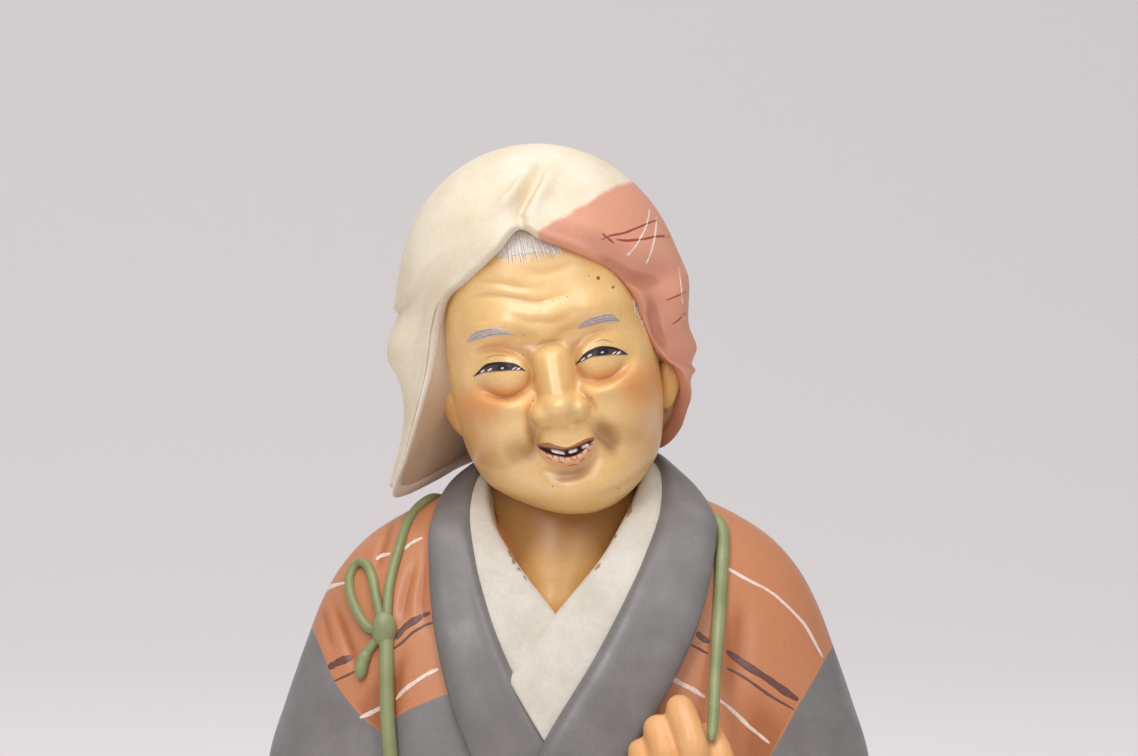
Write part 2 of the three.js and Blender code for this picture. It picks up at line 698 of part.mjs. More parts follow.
// Points of each cord: x, y and z, with a y of null where its middle lies just proud of the robe.
const leftCord = [
  [-18.6, 2, 63.2],
  [-21.4, -0.8, 63.6],
  [-24.2, null, 61.2],
  [-25.9, null, 56.7],
  [-27.3, null, 51],
  [-27.6, null, 45],
  [-27.6, null, 39],
  [-27.4, null, 32],
  [-26.6, null, 22],
  [-25.6, null, 4],
];
const rightCord = [
  [21.8, null, 61.6],
  [23.3, null, 59.2],
  [23.2, null, 54.8],
  [22.6, null, 45.8],
  [21.9, -24.6, 38],
  [21.6, -28.8, 33.6],
  [21.2, -32.4, 29.6],
];
const bowLoop = [
  [-28.2, null, 45.2],
  [-29.2, null, 49],
  [-30, null, 52.4],
  [-31, null, 54.1],
  [-32.3, null, 54.1],
  [-33.4, null, 52.4],
  [-33.4, null, 50],
  [-32.3, null, 47.3],
  [-30.6, null, 45],
  [-28.4, null, 44.2],
];
const bowTail = [
  [-27.6, null, 44.4],
  [-29.6, null, 42.6],
  [-31.2, null, 40],
  [-31.6, null, 37.2],
];
const KNOT = { place: [-28, null, 44.8], radii: [1.9, 1.6, 2.7] };
const THIN_CORD = 0.68; // the bow and the upper part of the left cord are thinner, by this share

// A cord's radius, rounded at its ends and changing from one share of it to another halfway.
function cordRadiusAt(ends, from = 1, to = 1) {
  const whole = roundedEnds(cordRadius, ends);
  return (t) => whole(t) * lerp(from, to, ease((t - 0.5) / 0.1));
}

function makeCords() {
  const path = (points) => points.map((point) => onRobe(point, 0.55 * cordRadius));
  return [
    bar(path(leftCord), cordRadiusAt(0.02, THIN_CORD, 1), 22, 6),
    bar(path(rightCord), cordRadiusAt(0.1, 1, 0.8), 12, 6),
    bar(path(bowLoop), cordRadiusAt(0.03, THIN_CORD, THIN_CORD), 16, 5),
    bar(path(bowTail), cordRadiusAt(0.2, THIN_CORD, 0.9), 6, 6),
    ball(onRobe(KNOT.place, cordRadius), KNOT.radii, 6, 8),
  ];
}

// Hand and cuff

const FINGER_RADIUS = 2.3;
// Each finger: x, y and z from the knuckle over the bend to the palm.
const fingers = [
  { knuckle: [10.8, -25.5, 28.6], bend: [11.6, -29.6, 24.4], tip: [14.4, -27.5, 16.5] },
  { knuckle: [12.8, -26, 32.4], bend: [14.4, -30.6, 27], tip: [16.8, -28.5, 17] },
  { knuckle: [15.9, -26.5, 35.6], bend: [18.5, -32, 28.6], tip: [20.2, -29, 17.5] },
  { knuckle: [20.2, -25.5, 31], bend: [22.6, -30.4, 26], tip: [23.2, -28, 17.5] },
];
const PALM = { centre: [16.6, -23.8, 21], radii: [7.6, 8, 11] };
const THUMB_RADIUS = 2.4;
const thumbPath = [[24.5, -25, 18], [21, -31, 14.5], [14.5, -31.5, 14]];

function makeHand() {
  const made = fingers.map(({ knuckle, bend, tip }) =>
    bar([knuckle, bend, tip], roundedEnds(FINGER_RADIUS, 0.16), 8, 7),
  );
  const palm = ball(PALM.centre, PALM.radii, 9, 14);
  const thumb = bar(thumbPath, roundedEnds(THUMB_RADIUS, 0.16), 8, 8);
  return [...made, palm, thumb];
}

// The wide sleeve lies across the front below the hand, and the wrist comes out of its mouth.
const sleevePath = [[34, -4, 8], [31, -14.5, 9], [26, -20.5, 10.2], [20.5, -23, 11.5]];
const wristPath = [[25, -23, 11], [19, -26, 13.5], [16, -26.5, 18]];
const SLEEVE_RADII = { back: 8.4, mouth: 9.6 };
const WRIST_RADIUS = 5.6;

function sleeveRadius(t) {
  return lerp(SLEEVE_RADII.back, SLEEVE_RADII.mouth, ease(t / 0.4));
}

function makeSleeve() {
  return [bar(sleevePath, sleeveRadius, 9, 16), bar(wristPath, roundedEnds(WRIST_RADIUS, 0.1), 6, 12)];
}

const solids = [
  makeHead(),
  makeEar(-1),
  makeEar(1),
  makeScarf(),
  makeRobe(),
  makeNeck(),
  makeBand(whiteInner, whiteOuter, underCollarWall, 0, 0.8),
  makeBand(greyInner, greyOuter, collarWall, 0.3, 1.4),
  ...makeCords(),
  ...makeHand(),
  ...makeSleeve(),
];

function closedMesh(name, solid, look) {
  const { vertProperties, triVerts } = solid.getMesh();
  const geometry = new THREE.BufferGeometry();
  geometry.setAttribute("position", new THREE.BufferAttribute(vertProperties, 3));
  geometry.setIndex(new THREE.BufferAttribute(triVerts, 1));
  geometry.computeVertexNormals();
  const mesh = new THREE.Mesh(geometry, new THREE.MeshStandardMaterial(look));
  mesh.name = name;
  return mesh;
}

// Everything below the flat underside, which is cut away.
function makeGround() {
  const wide = 4 * BUST_HEIGHT;
  const box = new THREE.BoxGeometry(wide, wide, BUST_HEIGHT).translate(0, 0, -BUST_HEIGHT / 2);
  box.deleteAttribute("normal");
  box.deleteAttribute("uv");
  const { index, attributes } = mergeVertices(box);
  return new manifold.Manifold(
    new manifold.Mesh({
      numProp: 3,
      vertProperties: attributes.position.array,
      triVerts: new Uint32Array(index.array),
    }),
  );
}

// The joined shapes keep small closed gaps between them, which the casting's clay fills.
const joined = solids.reduce((sum, solid) => sum.add(solid)).subtract(makeGround());
const shells = joined.decompose();
const whole = shells.reduce((largest, shell) => (shell.volume() > largest.volume() ? shell : largest));
const bust = new THREE.Group();
bust.add(closedMesh("doll_bust", whole, { color: 0xcfae90, roughness: 0.6, metalness: 0 }));

export default bust;
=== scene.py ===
import bpy
import numpy as np
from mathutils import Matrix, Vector


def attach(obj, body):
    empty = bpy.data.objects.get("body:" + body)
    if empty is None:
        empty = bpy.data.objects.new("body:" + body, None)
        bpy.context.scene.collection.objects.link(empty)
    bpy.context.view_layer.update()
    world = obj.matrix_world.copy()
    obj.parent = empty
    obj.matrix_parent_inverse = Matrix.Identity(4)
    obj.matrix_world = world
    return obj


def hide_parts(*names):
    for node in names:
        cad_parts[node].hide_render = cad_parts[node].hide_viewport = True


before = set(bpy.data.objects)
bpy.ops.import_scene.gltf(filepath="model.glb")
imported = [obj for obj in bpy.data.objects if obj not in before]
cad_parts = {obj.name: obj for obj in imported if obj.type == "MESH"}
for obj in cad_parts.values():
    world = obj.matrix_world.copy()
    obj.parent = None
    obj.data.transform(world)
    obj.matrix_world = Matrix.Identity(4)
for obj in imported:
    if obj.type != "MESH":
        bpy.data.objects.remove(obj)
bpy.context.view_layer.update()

MM = 0.001
WHOLE = "doll_bust"

# The head's own frame: a to the viewer's right, b up and f forwards, leaning to the left.
HEAD = {"x": -3.5, "y": -4, "z": 90.15, "lean": np.radians(10.5), "scale": 0.985}
SCARF_BALL = {"a": 0, "b": 5.4, "f": -1, "radius": 22.1, "tall": 1.054}


# Helpers for forms

def ease(t):
    """Smooth step s * s * (3 - 2 s) of t held between 0 and 1."""
    s = np.clip(t, 0, 1)
    return s * s * (3 - 2 * s)


def signed_power(value, power):
    """sign(value) * |value| ** power."""
    return np.sign(value) * np.abs(value) ** power


def unit(vectors):
    """Vectors divided by their own lengths."""
    return vectors / np.maximum(np.linalg.norm(vectors, axis=-1, keepdims=True), 1e-9)


def joined(*columns):
    """Numbers side by side on the last axis, such as x, y and z."""
    return np.stack(np.broadcast_arrays(*columns), axis=-1)


def shares(count):
    """Even steps from 0 to 1."""
    return np.linspace(0, 1, count)


def soft_max(first, second, width):
    """The greater of two heights, its seam rounded by width * h * (1 - h)."""
    h = np.clip(0.5 + 0.5 * (first - second) / width, 0, 1)
    return second + (first - second) * h + width * h * (1 - h)


def form(x, y, wide, tall, proud, full=2.4):
    """A form on a surface: its middle, half sizes and height, and how full its top is."""
    return {"x": x, "y": y, "wide": wide, "tall": tall, "proud": proud, "full": full}


def reach(x, y, shape):
    """Elliptical distance from a form's middle, 1 on its edge."""
    return np.hypot((x - shape["x"]) / shape["wide"], (y - shape["y"]) / shape["tall"])


def mound(x, y, shape):
    """proud * exp(-reach ** 2): a swelling that fades out on all sides."""
    return shape["proud"] * np.exp(-reach(x, y, shape) ** 2)


def cap(x, y, shape):
    """proud * (1 - reach ** full): a cushion that falls away past its edge."""
    return shape["proud"] * (1 - reach(x, y, shape) ** shape["full"])


def spline(rows, t, closed=False):
    """Uniform Catmull-Rom through rows of numbers, 0 at the first row and 1 at the last."""
    p = np.asarray(rows, float)
    if closed:
        p = np.vstack([p[-1:], p, p[:2]])
    else:
        p = np.vstack([2 * p[0] - p[1], p, 2 * p[-1] - p[-2]])
    spans = len(p) - 3
    at = np.clip(np.asarray(t, float), 0, 1) * spans
    i = np.minimum(at.astype(int), spans - 1)
    s = (at - i)[..., None]
    p0, p1, p2, p3 = p[i], p[i + 1], p[i + 2], p[i + 3]
    bend = (2 * p0 - 5 * p1 + 4 * p2 - p3) * s + (3 * p1 - p0 - 3 * p2 + p3) * s * s
    return p1 + 0.5 * s * (p2 - p0 + bend)


def smooth_line(rows, per_point=6):
    """A spline's points, close enough together to be measured as straight steps."""
    return spline(rows, shares(per_point * len(rows)))


def columns_at(rows, value):
    """The other columns of a smooth table at values of its first column."""
    fine = spline(rows, shares(1200))
    order = fine[::-1] if fine[0, 0] > fine[-1, 0] else fine
    return [np.interp(value, order[:, 0], order[:, k]) for k in range(1, order.shape[1])]


def direction(rows, t, step):
    """The way a spline runs at t, from its points a step before and after."""
    return unit(spline(rows, np.minimum(1, t + step)) - spline(rows, np.maximum(0, t - step)))


def near_line(x, y, line):
    """Distance to a line of points, the share passed, and the side, 1 to its left."""
    line = np.asarray(line, float)
    best = np.full(np.shape(x), np.inf)
    along = np.zeros(np.shape(x))
    side = np.zeros(np.shape(x))
    for i, ((x0, y0), (x1, y1)) in enumerate(zip(line[:-1], line[1:])):
        dx, dy = x1 - x0, y1 - y0
        t = np.clip(((x - x0) * dx + (y - y0) * dy) / (dx * dx + dy * dy), 0, 1)
        gap_x, gap_y = x - x0 - t * dx, y - y0 - t * dy
        distance = np.hypot(gap_x, gap_y)
        nearer = distance < best
        best = np.where(nearer, distance, best)
        along = np.where(nearer, (i + t) / (len(line) - 1), along)
        side = np.where(nearer, np.where(dx * gap_y - dy * gap_x >= 0, 1, -1), side)
    return best, along, side


def grooves(*rows):
    """Creases along smooth lines, each with its width and depth; a ridge has a negative one."""
    return [{"line": smooth_line(line), "wide": wide, "deep": deep} for line, wide, deep in rows]


def creases(x, y, shapes):
    """Sum of -deep * exp(-(distance / wide) ** 2), each fading at both ends of its line."""
    height = np.zeros(np.broadcast(x, y).shape)
    for shape in shapes:
        distance, along, _ = near_line(x, y, shape["line"])
        ends = ease(along / 0.4) * ease((1 - along) / 0.4)
        height = height - shape["deep"] * ends * np.exp(-(distance / shape["wide"]) ** 2)
    return height


def around(count):
    """Cosines and sines once round a closed section."""
    angle = np.linspace(0, 2 * np.pi, count, endpoint=False)
    return np.cos(angle), np.sin(angle)


def shell(sections, squareness, rows, columns, bunch):
    """Height, across and ahead of superellipse sections, and the cosine from the front.

    Across is middle + half * sin ** (2 / n) and ahead is reach * cos ** (2 / n), signs kept.
    The angle is turn - bunch * sin(turn), which brings the columns together in front.
    """
    turn = np.linspace(-1, 1, columns, endpoint=False) * np.pi
    angle = turn - bunch * np.sin(turn)
    height, middle, half, front, back = np.moveaxis(spline(sections, shares(rows)[:, None]), -1, 0)
    power = 2 / squareness
    forwards = np.cos(angle)
    across = middle + half * signed_power(np.sin(angle), power)
    ahead = np.where(forwards > 0, front, back) * signed_power(forwards, power)
    return np.broadcast_arrays(height, across, ahead, forwards)


# Meshes

def volume_of(points, faces):
    """Sum of p0 . (p1 x p2) / 6 over triangles: positive when they face outwards."""
    p0, p1, p2 = (points[faces[:, k]] for k in range(3))
    return np.einsum("ij,ij->", p0, np.cross(p1, p2)) / 6


def closed_faces(grid, start):
    """Quads between the rows of a grid, and a fan of triangles to a point at each end."""
    rows, columns = grid.shape[:2]
    index = start + np.arange(rows * columns).reshape(rows, columns)
    right = np.roll(index, -1, axis=1)
    quads = np.stack([index[:-1], right[:-1], right[1:], index[1:]], axis=-1).reshape(-1, 4)
    first = np.full(columns, start + rows * columns)
    fans = np.vstack([
        np.stack([right[0], index[0], first], axis=-1),
        np.stack([index[-1], right[-1], first + 1], axis=-1),
    ])
    points = np.vstack([grid.reshape(-1, 3), grid[0].mean(0), grid[-1].mean(0)])
    triangles = np.vstack([quads[:, [0, 1, 2]], quads[:, [0, 2, 3]], fans]) - start
    if volume_of(points - points.mean(0), triangles) < 0:
        quads, fans = quads[:, ::-1], fans[:, ::-1]
    return points, quads.tolist() + fans.tolist()


def with_ends(values):
    """One value per point of a grid, and the mean of its first and of its last row."""
    return np.concatenate([values.ravel(), [values[0].mean()], [values[-1].mean()]])


def add_object(name, data):
    """A new object at the origin, unturned, in the scene."""
    made = bpy.data.objects.new(name, data)
    bpy.context.collection.objects.link(made)
    return made


def make_piece(name, grids, material, marks=None, body="root"):
    """One object from closed grids of points; marks are values stored on its points."""
    points, faces, start = [], [], 0
    for grid in grids:
        more, new_faces = closed_faces(grid, start)
        points.append(more)
        faces += new_faces
        start += len(more)
    mesh = bpy.data.meshes.new(name)
    mesh.from_pydata((np.vstack(points) * MM).tolist(), [], faces)
    mesh.shade_smooth()
    for mark, values in (marks or {}).items():
        stored = mesh.attributes.new(mark, "FLOAT", "POINT")
        stored.data.foreach_set("value", with_ends(values).astype(np.float32))
    mesh.materials.append(material)
    piece = add_object(name, mesh)
    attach(piece, body)
    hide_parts(WHOLE)
    return piece


def bar(points, radius_at, steps=60, sides=24):
    """A round bar along points: middle + radius * (side * cos + up * sin)."""
    t = shares(steps)
    tangent = direction(points, t, 0.01)
    side = unit(np.cross(tangent, [0, -1, 0]))
    up = np.cross(side, tangent)
    cosine, sine = around(sides)
    rim = side[:, None] * cosine[:, None] + up[:, None] * sine[:, None]
    return spline(points, t)[:, None] + radius_at(t)[:, None, None] * rim


def rounded_ends(radius, share):
    """radius * sqrt(1 - (1 - end / share) ** 2) over the last share of each end."""
    def radius_at(t):
        past = np.maximum(0, 1 - np.minimum(t, 1 - t) / share)
        return radius * np.sqrt(np.maximum(0.01, 1 - past ** 2))
    return radius_at


def ball(centre, radii, steps=40, sides=48, full=1):
    """centre + radii * (sin, cos) of two angles, each raised to the power full."""
    polar = np.linspace(0.02, np.pi - 0.02, steps)[:, None]
    cosine, sine = around(sides)
    ring = signed_power(np.sin(polar), full)
    x = centre[0] + radii[0] * ring * signed_power(cosine, full)
    y = centre[1] + radii[1] * ring * signed_power(sine, full)
    return joined(x, y, centre[2] + radii[2] * signed_power(np.cos(polar), full))


# Paint lines, drawn as thin closed layers on a surface

PAINT_LIFT = 0.03
SLOPE_STEP = 0.02  # how far apart the points lie that give a surface's slope


def paint_layer(low, high, surface, lift=PAINT_LIFT, sides=10):
    """Paint between two lines on a surface.

    With angle going once round, a point is surface(low + (high - low) * (1 - cos) / 2),
    lifted by lift * sin along the surface's normal.
    """
    cosine, sine = around(sides)
    mix = (0.5 - 0.5 * cosine)[None, :]
    x = low[:, :1] + (high[:, :1] - low[:, :1]) * mix
    y = low[:, 1:] + (high[:, 1:] - low[:, 1:]) * mix
    across = surface(x + SLOPE_STEP, y) - surface(x - SLOPE_STEP, y)
    up = surface(x, y + SLOPE_STEP) - surface(x, y - SLOPE_STEP)
    normal = unit(np.cross(across, up))
    normal = np.where(normal[..., 1:2] > 0, -normal, normal)
    return surface(x, y) + (lift * sine)[None, :, None] * normal


def stroke(points, wide, surface, ends=0.5, waver=0.12, steps=28, **layer):
    """A brush line: half its width is wide / 2 * (4 t (1 - t)) ** ends, wavering by sines."""
    t = np.linspace(0.004, 0.996, steps)
    line = spline(points, t)
    ahead = direction(points, t, 0.02)
    beside = joined(-ahead[:, 1], ahead[:, 0])
    phase = 7 * (points[0][0] + points[0][1])
    swell = 1 + waver * (np.sin(11 * t + phase) + 0.6 * np.sin(29 * t + 2 * phase))
    half = (0.5 * wide * (4 * t * (1 - t)) ** ends * swell)[:, None]
    return paint_layer(line - half * beside, line + half * beside, surface, **layer)


def strokes(rows, surface, **settings):
    """A brush line for each row of a line and its width."""
    return [stroke(line, wide, surface, **settings) for line, wide in rows]


def paint_between(low, high, surface, steps, lift, sides=12, ends=0):
    """Paint from one spline of points to another, ends being left out at both ends."""
    t = np.linspace(ends, 1 - ends, steps)
    return paint_layer(spline(low, t), spline(high, t), surface, lift, sides)


def brush_fan(starts, ends, count, wide, surface, seed, ragged=0.15):
    """Brush lines from one line of points to another, each a little longer or shorter."""
    random = np.random.default_rng(seed)
    made = []
    for t in (np.arange(count) + 0.5) / count:
        top = spline(starts, t + random.uniform(-0.3, 0.3) / count)
        foot = spline(ends, t + random.uniform(-0.3, 0.3) / count)
        first = top + (foot - top) * random.uniform(0, ragged)
        last = foot + (foot - top) * random.uniform(-ragged, ragged)
        middle = (first + last) / 2 + random.uniform(-0.06, 0.06, 2)
        width = wide * random.uniform(0.7, 1.2)
        made.append(stroke([first, middle, last], width, surface, steps=14, sides=6))
    return made


# Head

def from_head(a, b, f):
    """The head's frame leant and moved to the figure's."""
    lean, scale = HEAD["lean"], HEAD["scale"]
    x = HEAD["x"] + scale * (a * np.cos(lean) - b * np.sin(lean))
    z = HEAD["z"] + scale * (a * np.sin(lean) + b * np.cos(lean))
    return joined(x, HEAD["y"] - scale * f, z)


# Height, middle across, half width, reach forwards and reach backwards of skull and jaw.
HEAD_SECTIONS = [
    (24, 0, 3, 3, 3),
    (21.5, 0, 9.5, 9, 10),
    (16, 0, 13.7, 13.6, 15),
    (10, 0, 15.3, 15.8, 17.5),
    (4, 0, 16, 16.8, 18),
    (-3, 0, 16.3, 17.1, 17.5),
    (-9, 0, 16.3, 16.9, 15.5),
    (-14, 0, 15.9, 16.4, 12),
    (-18.5, 0, 15, 15.6, 9),
    (-22.5, 0.2, 13.2, 14.8, 7.5),
    (-26, 0.8, 9.4, 13.2, 6),
    (-28.4, 1.4, 5.2, 10.2, 4),
    (-29.2, 1.7, 2, 6.8, 2),
]
HEAD_SQUARENESS = 2.4
BROW = form(7.4, 2.2, 6.5, 2.6, 1.1)
GLABELLA = form(0, 1.2, 3.2, 2.4, 0.9)
ORBIT = form(5.2, -1.6, 4.8, 2.2, -1.3)
INNER_CORNER = form(3.6, -4.3, 1.9, 2.8, -2.6)
EYE = {"x": 7.5, "y": -5.1, "wide": 4.7, "above": 3.6, "below": 4.15, "low": -0.8, "high": 0.8}
CHEEK = form(10.2, -12.8, 7.4, 6.3, 2.8, 3)
CHEEK_TOP = form(6.8, -10.5, 4.4, 1.4, 0.75)
JOWL = form(8, -21, 4.4, 2.8, -0.8)
NOSE = {"x": 0, "top": -2.2, "bottom": -14.9, "slim": 2.4, "broad": 3.7, "low": 0.6, "high": 6.5,
    "flat": 0.16}
NOSE_TIP = form(-0.1, -11.8, 3.8, 3.3, 6.1)
NOSTRIL = form(2.95, -12.3, 2.1, 2.2, 4.35, 2.2)
MUZZLE = form(0.2, -16.8, 4.9, 4.6, 2.7, 2.8)
CHIN = form(0.7, -25.4, 7.6, 4.4, 2.2, 2.2)
MOUTH = {"left": -4.7, "right": 4.5, "fade": 0.5, "deep": 1.15, "lip": 1.15, "edge": 0.35}
UPPER_LIP = [(-4.6, -16.9), (-3.7, -17.3), (-2.8, -17.6), (-1.6, -18), (-0.3, -18.3), (1.6, -18.1),
    (2.8, -17.8), (4.4, -17.5)]
OPENING = [(-4.6, -17.1), (-4.1, -17.7), (-2.8, -18.6), (-1.8, -19), (-0.4, -19.5), (0.9, -19.5),
    (2.1, -19.1), (3.5, -18.2), (4.4, -17.7)]
LIP_FOOT = [(-4.7, -17.8), (-3.9, -19.2), (-2.9, -20.2), (-1.6, -20.9), (-0.2, -21.1), (1.3, -21),
    (2.6, -20.5), (3.7, -19.7), (4.5, -18.4)]
LID_CREASES = grooves(
    ([(-12.6, -2.6), (-11.2, -1.5), (-9.4, -1.1), (-7.4, -1.4), (-5.9, -2), (-4.5, -3), (-3.2, -4.6)],
        0.7, 0.55),
    ([(3, -4.9), (4.4, -3.6), (6.5, -2.1), (8.1, -1.6), (9.7, -1.9), (11.6, -2.8)], 0.7, 0.4),
)
BAG_CREASES = grooves(
    ([(-12.6, -5.4), (-10.8, -7.3), (-8.7, -8.8), (-7.1, -9.2), (-5, -8.5), (-3.3, -7), (-2.7, -5.6)],
        0.5, 0.45),
    ([(3.4, -5.4), (3.9, -7.4), (5.2, -9), (6.8, -9.5), (8.9, -9.2), (11, -8.2), (12.4, -6.6)], 0.5, 0.45),
)
NOSE_CREASES = grooves(
    ([(-3, -4), (-1.3, -2.1), (0.3, -1.8), (1.9, -2.2), (3.2, -4.2)], 0.6, 0.6),
    ([(-2.9, -9.9), (-4.2, -10.8), (-5, -12.4), (-4.6, -14)], 0.45, 0.5),
    ([(3, -10.4), (4.4, -11.2), (5.1, -12.8), (4.6, -14.2)], 0.45, 0.5),
)
SMILE_FOLDS = grooves(
    ([(-4.6, -11.8), (-4.9, -13), (-4.8, -14.8), (-4.8, -16.6), (-5.7, -18.6), (-6.4, -20.6)], 1.05, 0.85),
    ([(-5, -16.4), (-7.8, -17.3), (-10.9, -18.2)], 1.9, 0.6),
    ([(4.6, -12.6), (5, -14.6), (6, -16.3), (7.9, -17.5), (9.8, -18.5), (12, -19.6)], 1.5, 0.85),
    ([(4.9, -15.4), (6, -17.5), (6.8, -19.4), (6.9, -22.4)], 1.1, 0.75),
    ([(-5.6, -18.4), (-4.2, -20.2), (-2.4, -21.9), (-1, -22.3), (0.6, -22.4), (2.2, -21.8), (4, -20.2),
        (5.4, -18.2)], 1.2, 0.75),
)
WRINKLES = grooves(
    ([(-2.9, 10.2), (-1, 9.3), (0.9, 8.7), (3.1, 8.7), (5.4, 9.1), (7.8, 9.3)], 0.7, 0.2),
    ([(-11.4, 8.6), (-9.2, 9.3), (-7.7, 9.1), (-5.5, 8.4), (-3.4, 7.5), (-1.5, 6.9), (0.6, 6.4)],
        0.6, 0.28),
    ([(-13.6, 6.4), (-11.2, 7), (-9.3, 7.1), (-7.4, 6.9), (-4.1, 5.8), (-0.8, 4.6), (0.9, 4.5), (4.3, 4.9),
        (8.6, 5.9)], 0.6, 0.4),
    ([(-7.6, 4.6), (-5.2, 3.4), (-2.4, 2.1), (-0.6, 1.7), (1.4, 1.4), (3.3, 1.7), (4.9, 2.2), (7.4, 2.9)],
        0.75, 0.42),
    ([(-12.8, 2.2), (-10.3, 3.4), (-8, 3.5), (-5, 3.8)], 0.7, 0.2),
)
FACE_CREASES = LID_CREASES + BAG_CREASES + NOSE_CREASES + SMILE_FOLDS + WRINKLES


def nose_height(a, b):
    """A ridge with a flat top and sloped sides, joined to a tip and two nostrils."""
    down = np.clip((NOSE["top"] - b) / (NOSE["top"] - NOSE["bottom"]), 0, 1)
    half = NOSE["slim"] + (NOSE["broad"] - NOSE["slim"]) * down
    across = np.abs((a - NOSE["x"]) / half)
    ends = ease((b - NOSE["bottom"] - 0.4) / 3.4) * ease((NOSE["top"] + 1.2 - b) / 3)
    slope = 1 - 1.6 * ease((across - NOSE["flat"]) / 1.35)
    ridge = (NOSE["low"] + (NOSE["high"] - NOSE["low"]) * down) * slope
    ridge = np.maximum(ridge, -3) * ends - 1 * (1 - ends)
    tip = soft_max(ridge, cap(a, b, NOSE_TIP), 1)
    return soft_max(tip, cap(np.abs(a - NOSE["x"]), b, NOSTRIL), 1.7)


def mouth_places(a, b):
    """Height of the three lip lines at a, and how far inside the corners a lies."""
    top, low, foot = (columns_at(line, a)[0] for line in (UPPER_LIP, OPENING, LIP_FOOT))
    inside = ease((a - MOUTH["left"]) / MOUTH["fade"]) * ease((MOUTH["right"] - a) / MOUTH["fade"])
    return top, low, foot, inside


def mouth_height(a, b, deep):
    """The rounded lower lip, the upper lip's edge and the opening between them."""
    top, low, foot, inside = mouth_places(a, b)
    up = np.clip((b - foot) / np.maximum(low - foot, 0.05), -0.6, 1.6)
    corners = ease((a - MOUTH["left"]) / 2) * ease((MOUTH["right"] - a) / 2)
    bulge = MOUTH["lip"] * np.clip(1 - (2 * up - 1.1) ** 2, 0, 1) ** 0.6 * corners
    hole = deep * ease((top - b) / 0.35) * ease((b - low) / 0.35)
    edge = MOUTH["edge"] * np.exp(-((b - top - 0.3) / 0.45) ** 2)
    return bulge + (edge - hole) * inside


def face_relief(a, b, mouth_deep=MOUTH["deep"]):
    """How far the features stand out of the plain head at a and b on its front."""
    side = np.abs(a)
    hollows = mound(side, b, ORBIT) + mound(side, b, INNER_CORNER) + mound(side, b, JOWL)
    skin = hollows + mound(side, b, BROW) + mound(a, b, GLABELLA)
    skin = soft_max(skin, cap(side, b, CHEEK), 0.9) + mound(side, b, CHEEK_TOP)
    upper = b > EYE["y"]
    tall = np.where(upper, EYE["above"], EYE["below"])
    q = np.hypot((side - EYE["x"]) / EYE["wide"], (b - EYE["y"]) / tall)
    dome = EYE["low"] + (EYE["high"] - EYE["low"]) * (1 - np.clip(q, 0, 2) ** 2.4)
    aside = np.clip(((side - EYE["x"]) / EYE["wide"]) ** 2, 0, 1)
    soft = np.where(upper, 0.8, 0.16 + 0.6 * aside)
    blend = ease((q - 1 + soft / 2) / soft)
    skin = dome * (1 - blend) + skin * blend
    skin = soft_max(skin, cap(a, b, MUZZLE), 0.6)
    skin = soft_max(skin, cap(a, b, CHIN), 1.8)
    skin = soft_max(skin, nose_height(a, b), 0.6)
    return skin + creases(a, b, FACE_CREASES) + mouth_height(a, b, mouth_deep)


def head_grid(rows, columns):
    """a, b and f of the head's sections with the relief on their front, and the cosine."""
    b, a, f, forwards = shell(HEAD_SECTIONS, HEAD_SQUARENESS, rows, columns, 0.55)
    return a, b, f + face_relief(a, b) * ease((forwards + 0.05) / 0.4), forwards


def face_front(a, b, mouth_deep=MOUTH["deep"]):
    """f on the front of the face: front * (1 - |u| ** n) ** (1 / n) + relief."""
    middle, half, front, _ = columns_at(HEAD_SECTIONS, b)
    u = np.clip(np.abs((a - middle) / half), 0, 0.999)
    cosine = np.sqrt(1 - u**HEAD_SQUARENESS)
    relief = face_relief(a, b, mouth_deep) * ease((cosine + 0.05) / 0.4)
    return front * cosine ** (2 / HEAD_SQUARENESS) + relief


def on_face(a, b):
    """Place of a and b on the front of the face."""
    return from_head(a, b, face_front(a, b))


# Side, across and up of each ear.
EARS = [(-1, -15.9, -10.4), (1, 17.1, -11.4)]


def ear_grid(side, a0, b0):
    """An upright leaf: an ellipse whose middle moves outwards towards its top."""
    polar = np.linspace(0.03, np.pi - 0.03, 60)[:, None]
    cosine, sine = around(60)
    a = a0 + side * (1.9 * np.sin(polar) * cosine + 0.9 * np.cos(polar))
    b = b0 + 4.3 * np.cos(polar)
    return from_head(a, b, 1.5 + 2.2 * np.sin(polar) * sine)


# Headscarf

SCARF_POLE = unit(np.array([0, 0.12, -1]))
SCARF_WALL = 2.3
LIP_ROUND = 1.1
RECESS = 1.5
CROWN_EDGE = 0.9
# Front edge and hem: a, b and f of points from the brow, by the left tip and the nape.
SCARF_RIM = [
    (-1.2, 16.9, 17.2),
    (-5.4, 13.7, 17.4),
    (-11.2, 10, 15),
    (-15, 7.6, 12.2),
    (-17.3, 3.4, 9.8),
    (-19.3, -2.7, 8.6),
    (-21.4, -7.4, 8.4),
    (-23.8, -12.4, 7.8),
    (-26.1, -17.4, 6),
    (-27.4, -21.2, 2.5),
    (-21.2, -20.6, -6),
    (-14.5, -19.4, -13),
    (0, -19, -18),
    (9.5, -21, -12.5),
    (14.2, -22.2, -6),
    (17.4, -18.6, -1.6),
    (19, -14.4, 1.4),
    (19.4, -10.6, 4.6),
    (17.6, -7.8, 6.8),
    (16.6, -2.6, 9.6),
    (15.2, 3.2, 12.4),
    (12.5, 7.6, 14.6),
    (7.2, 11.4, 16.9),
    (1.7, 14.7, 17.6),
]
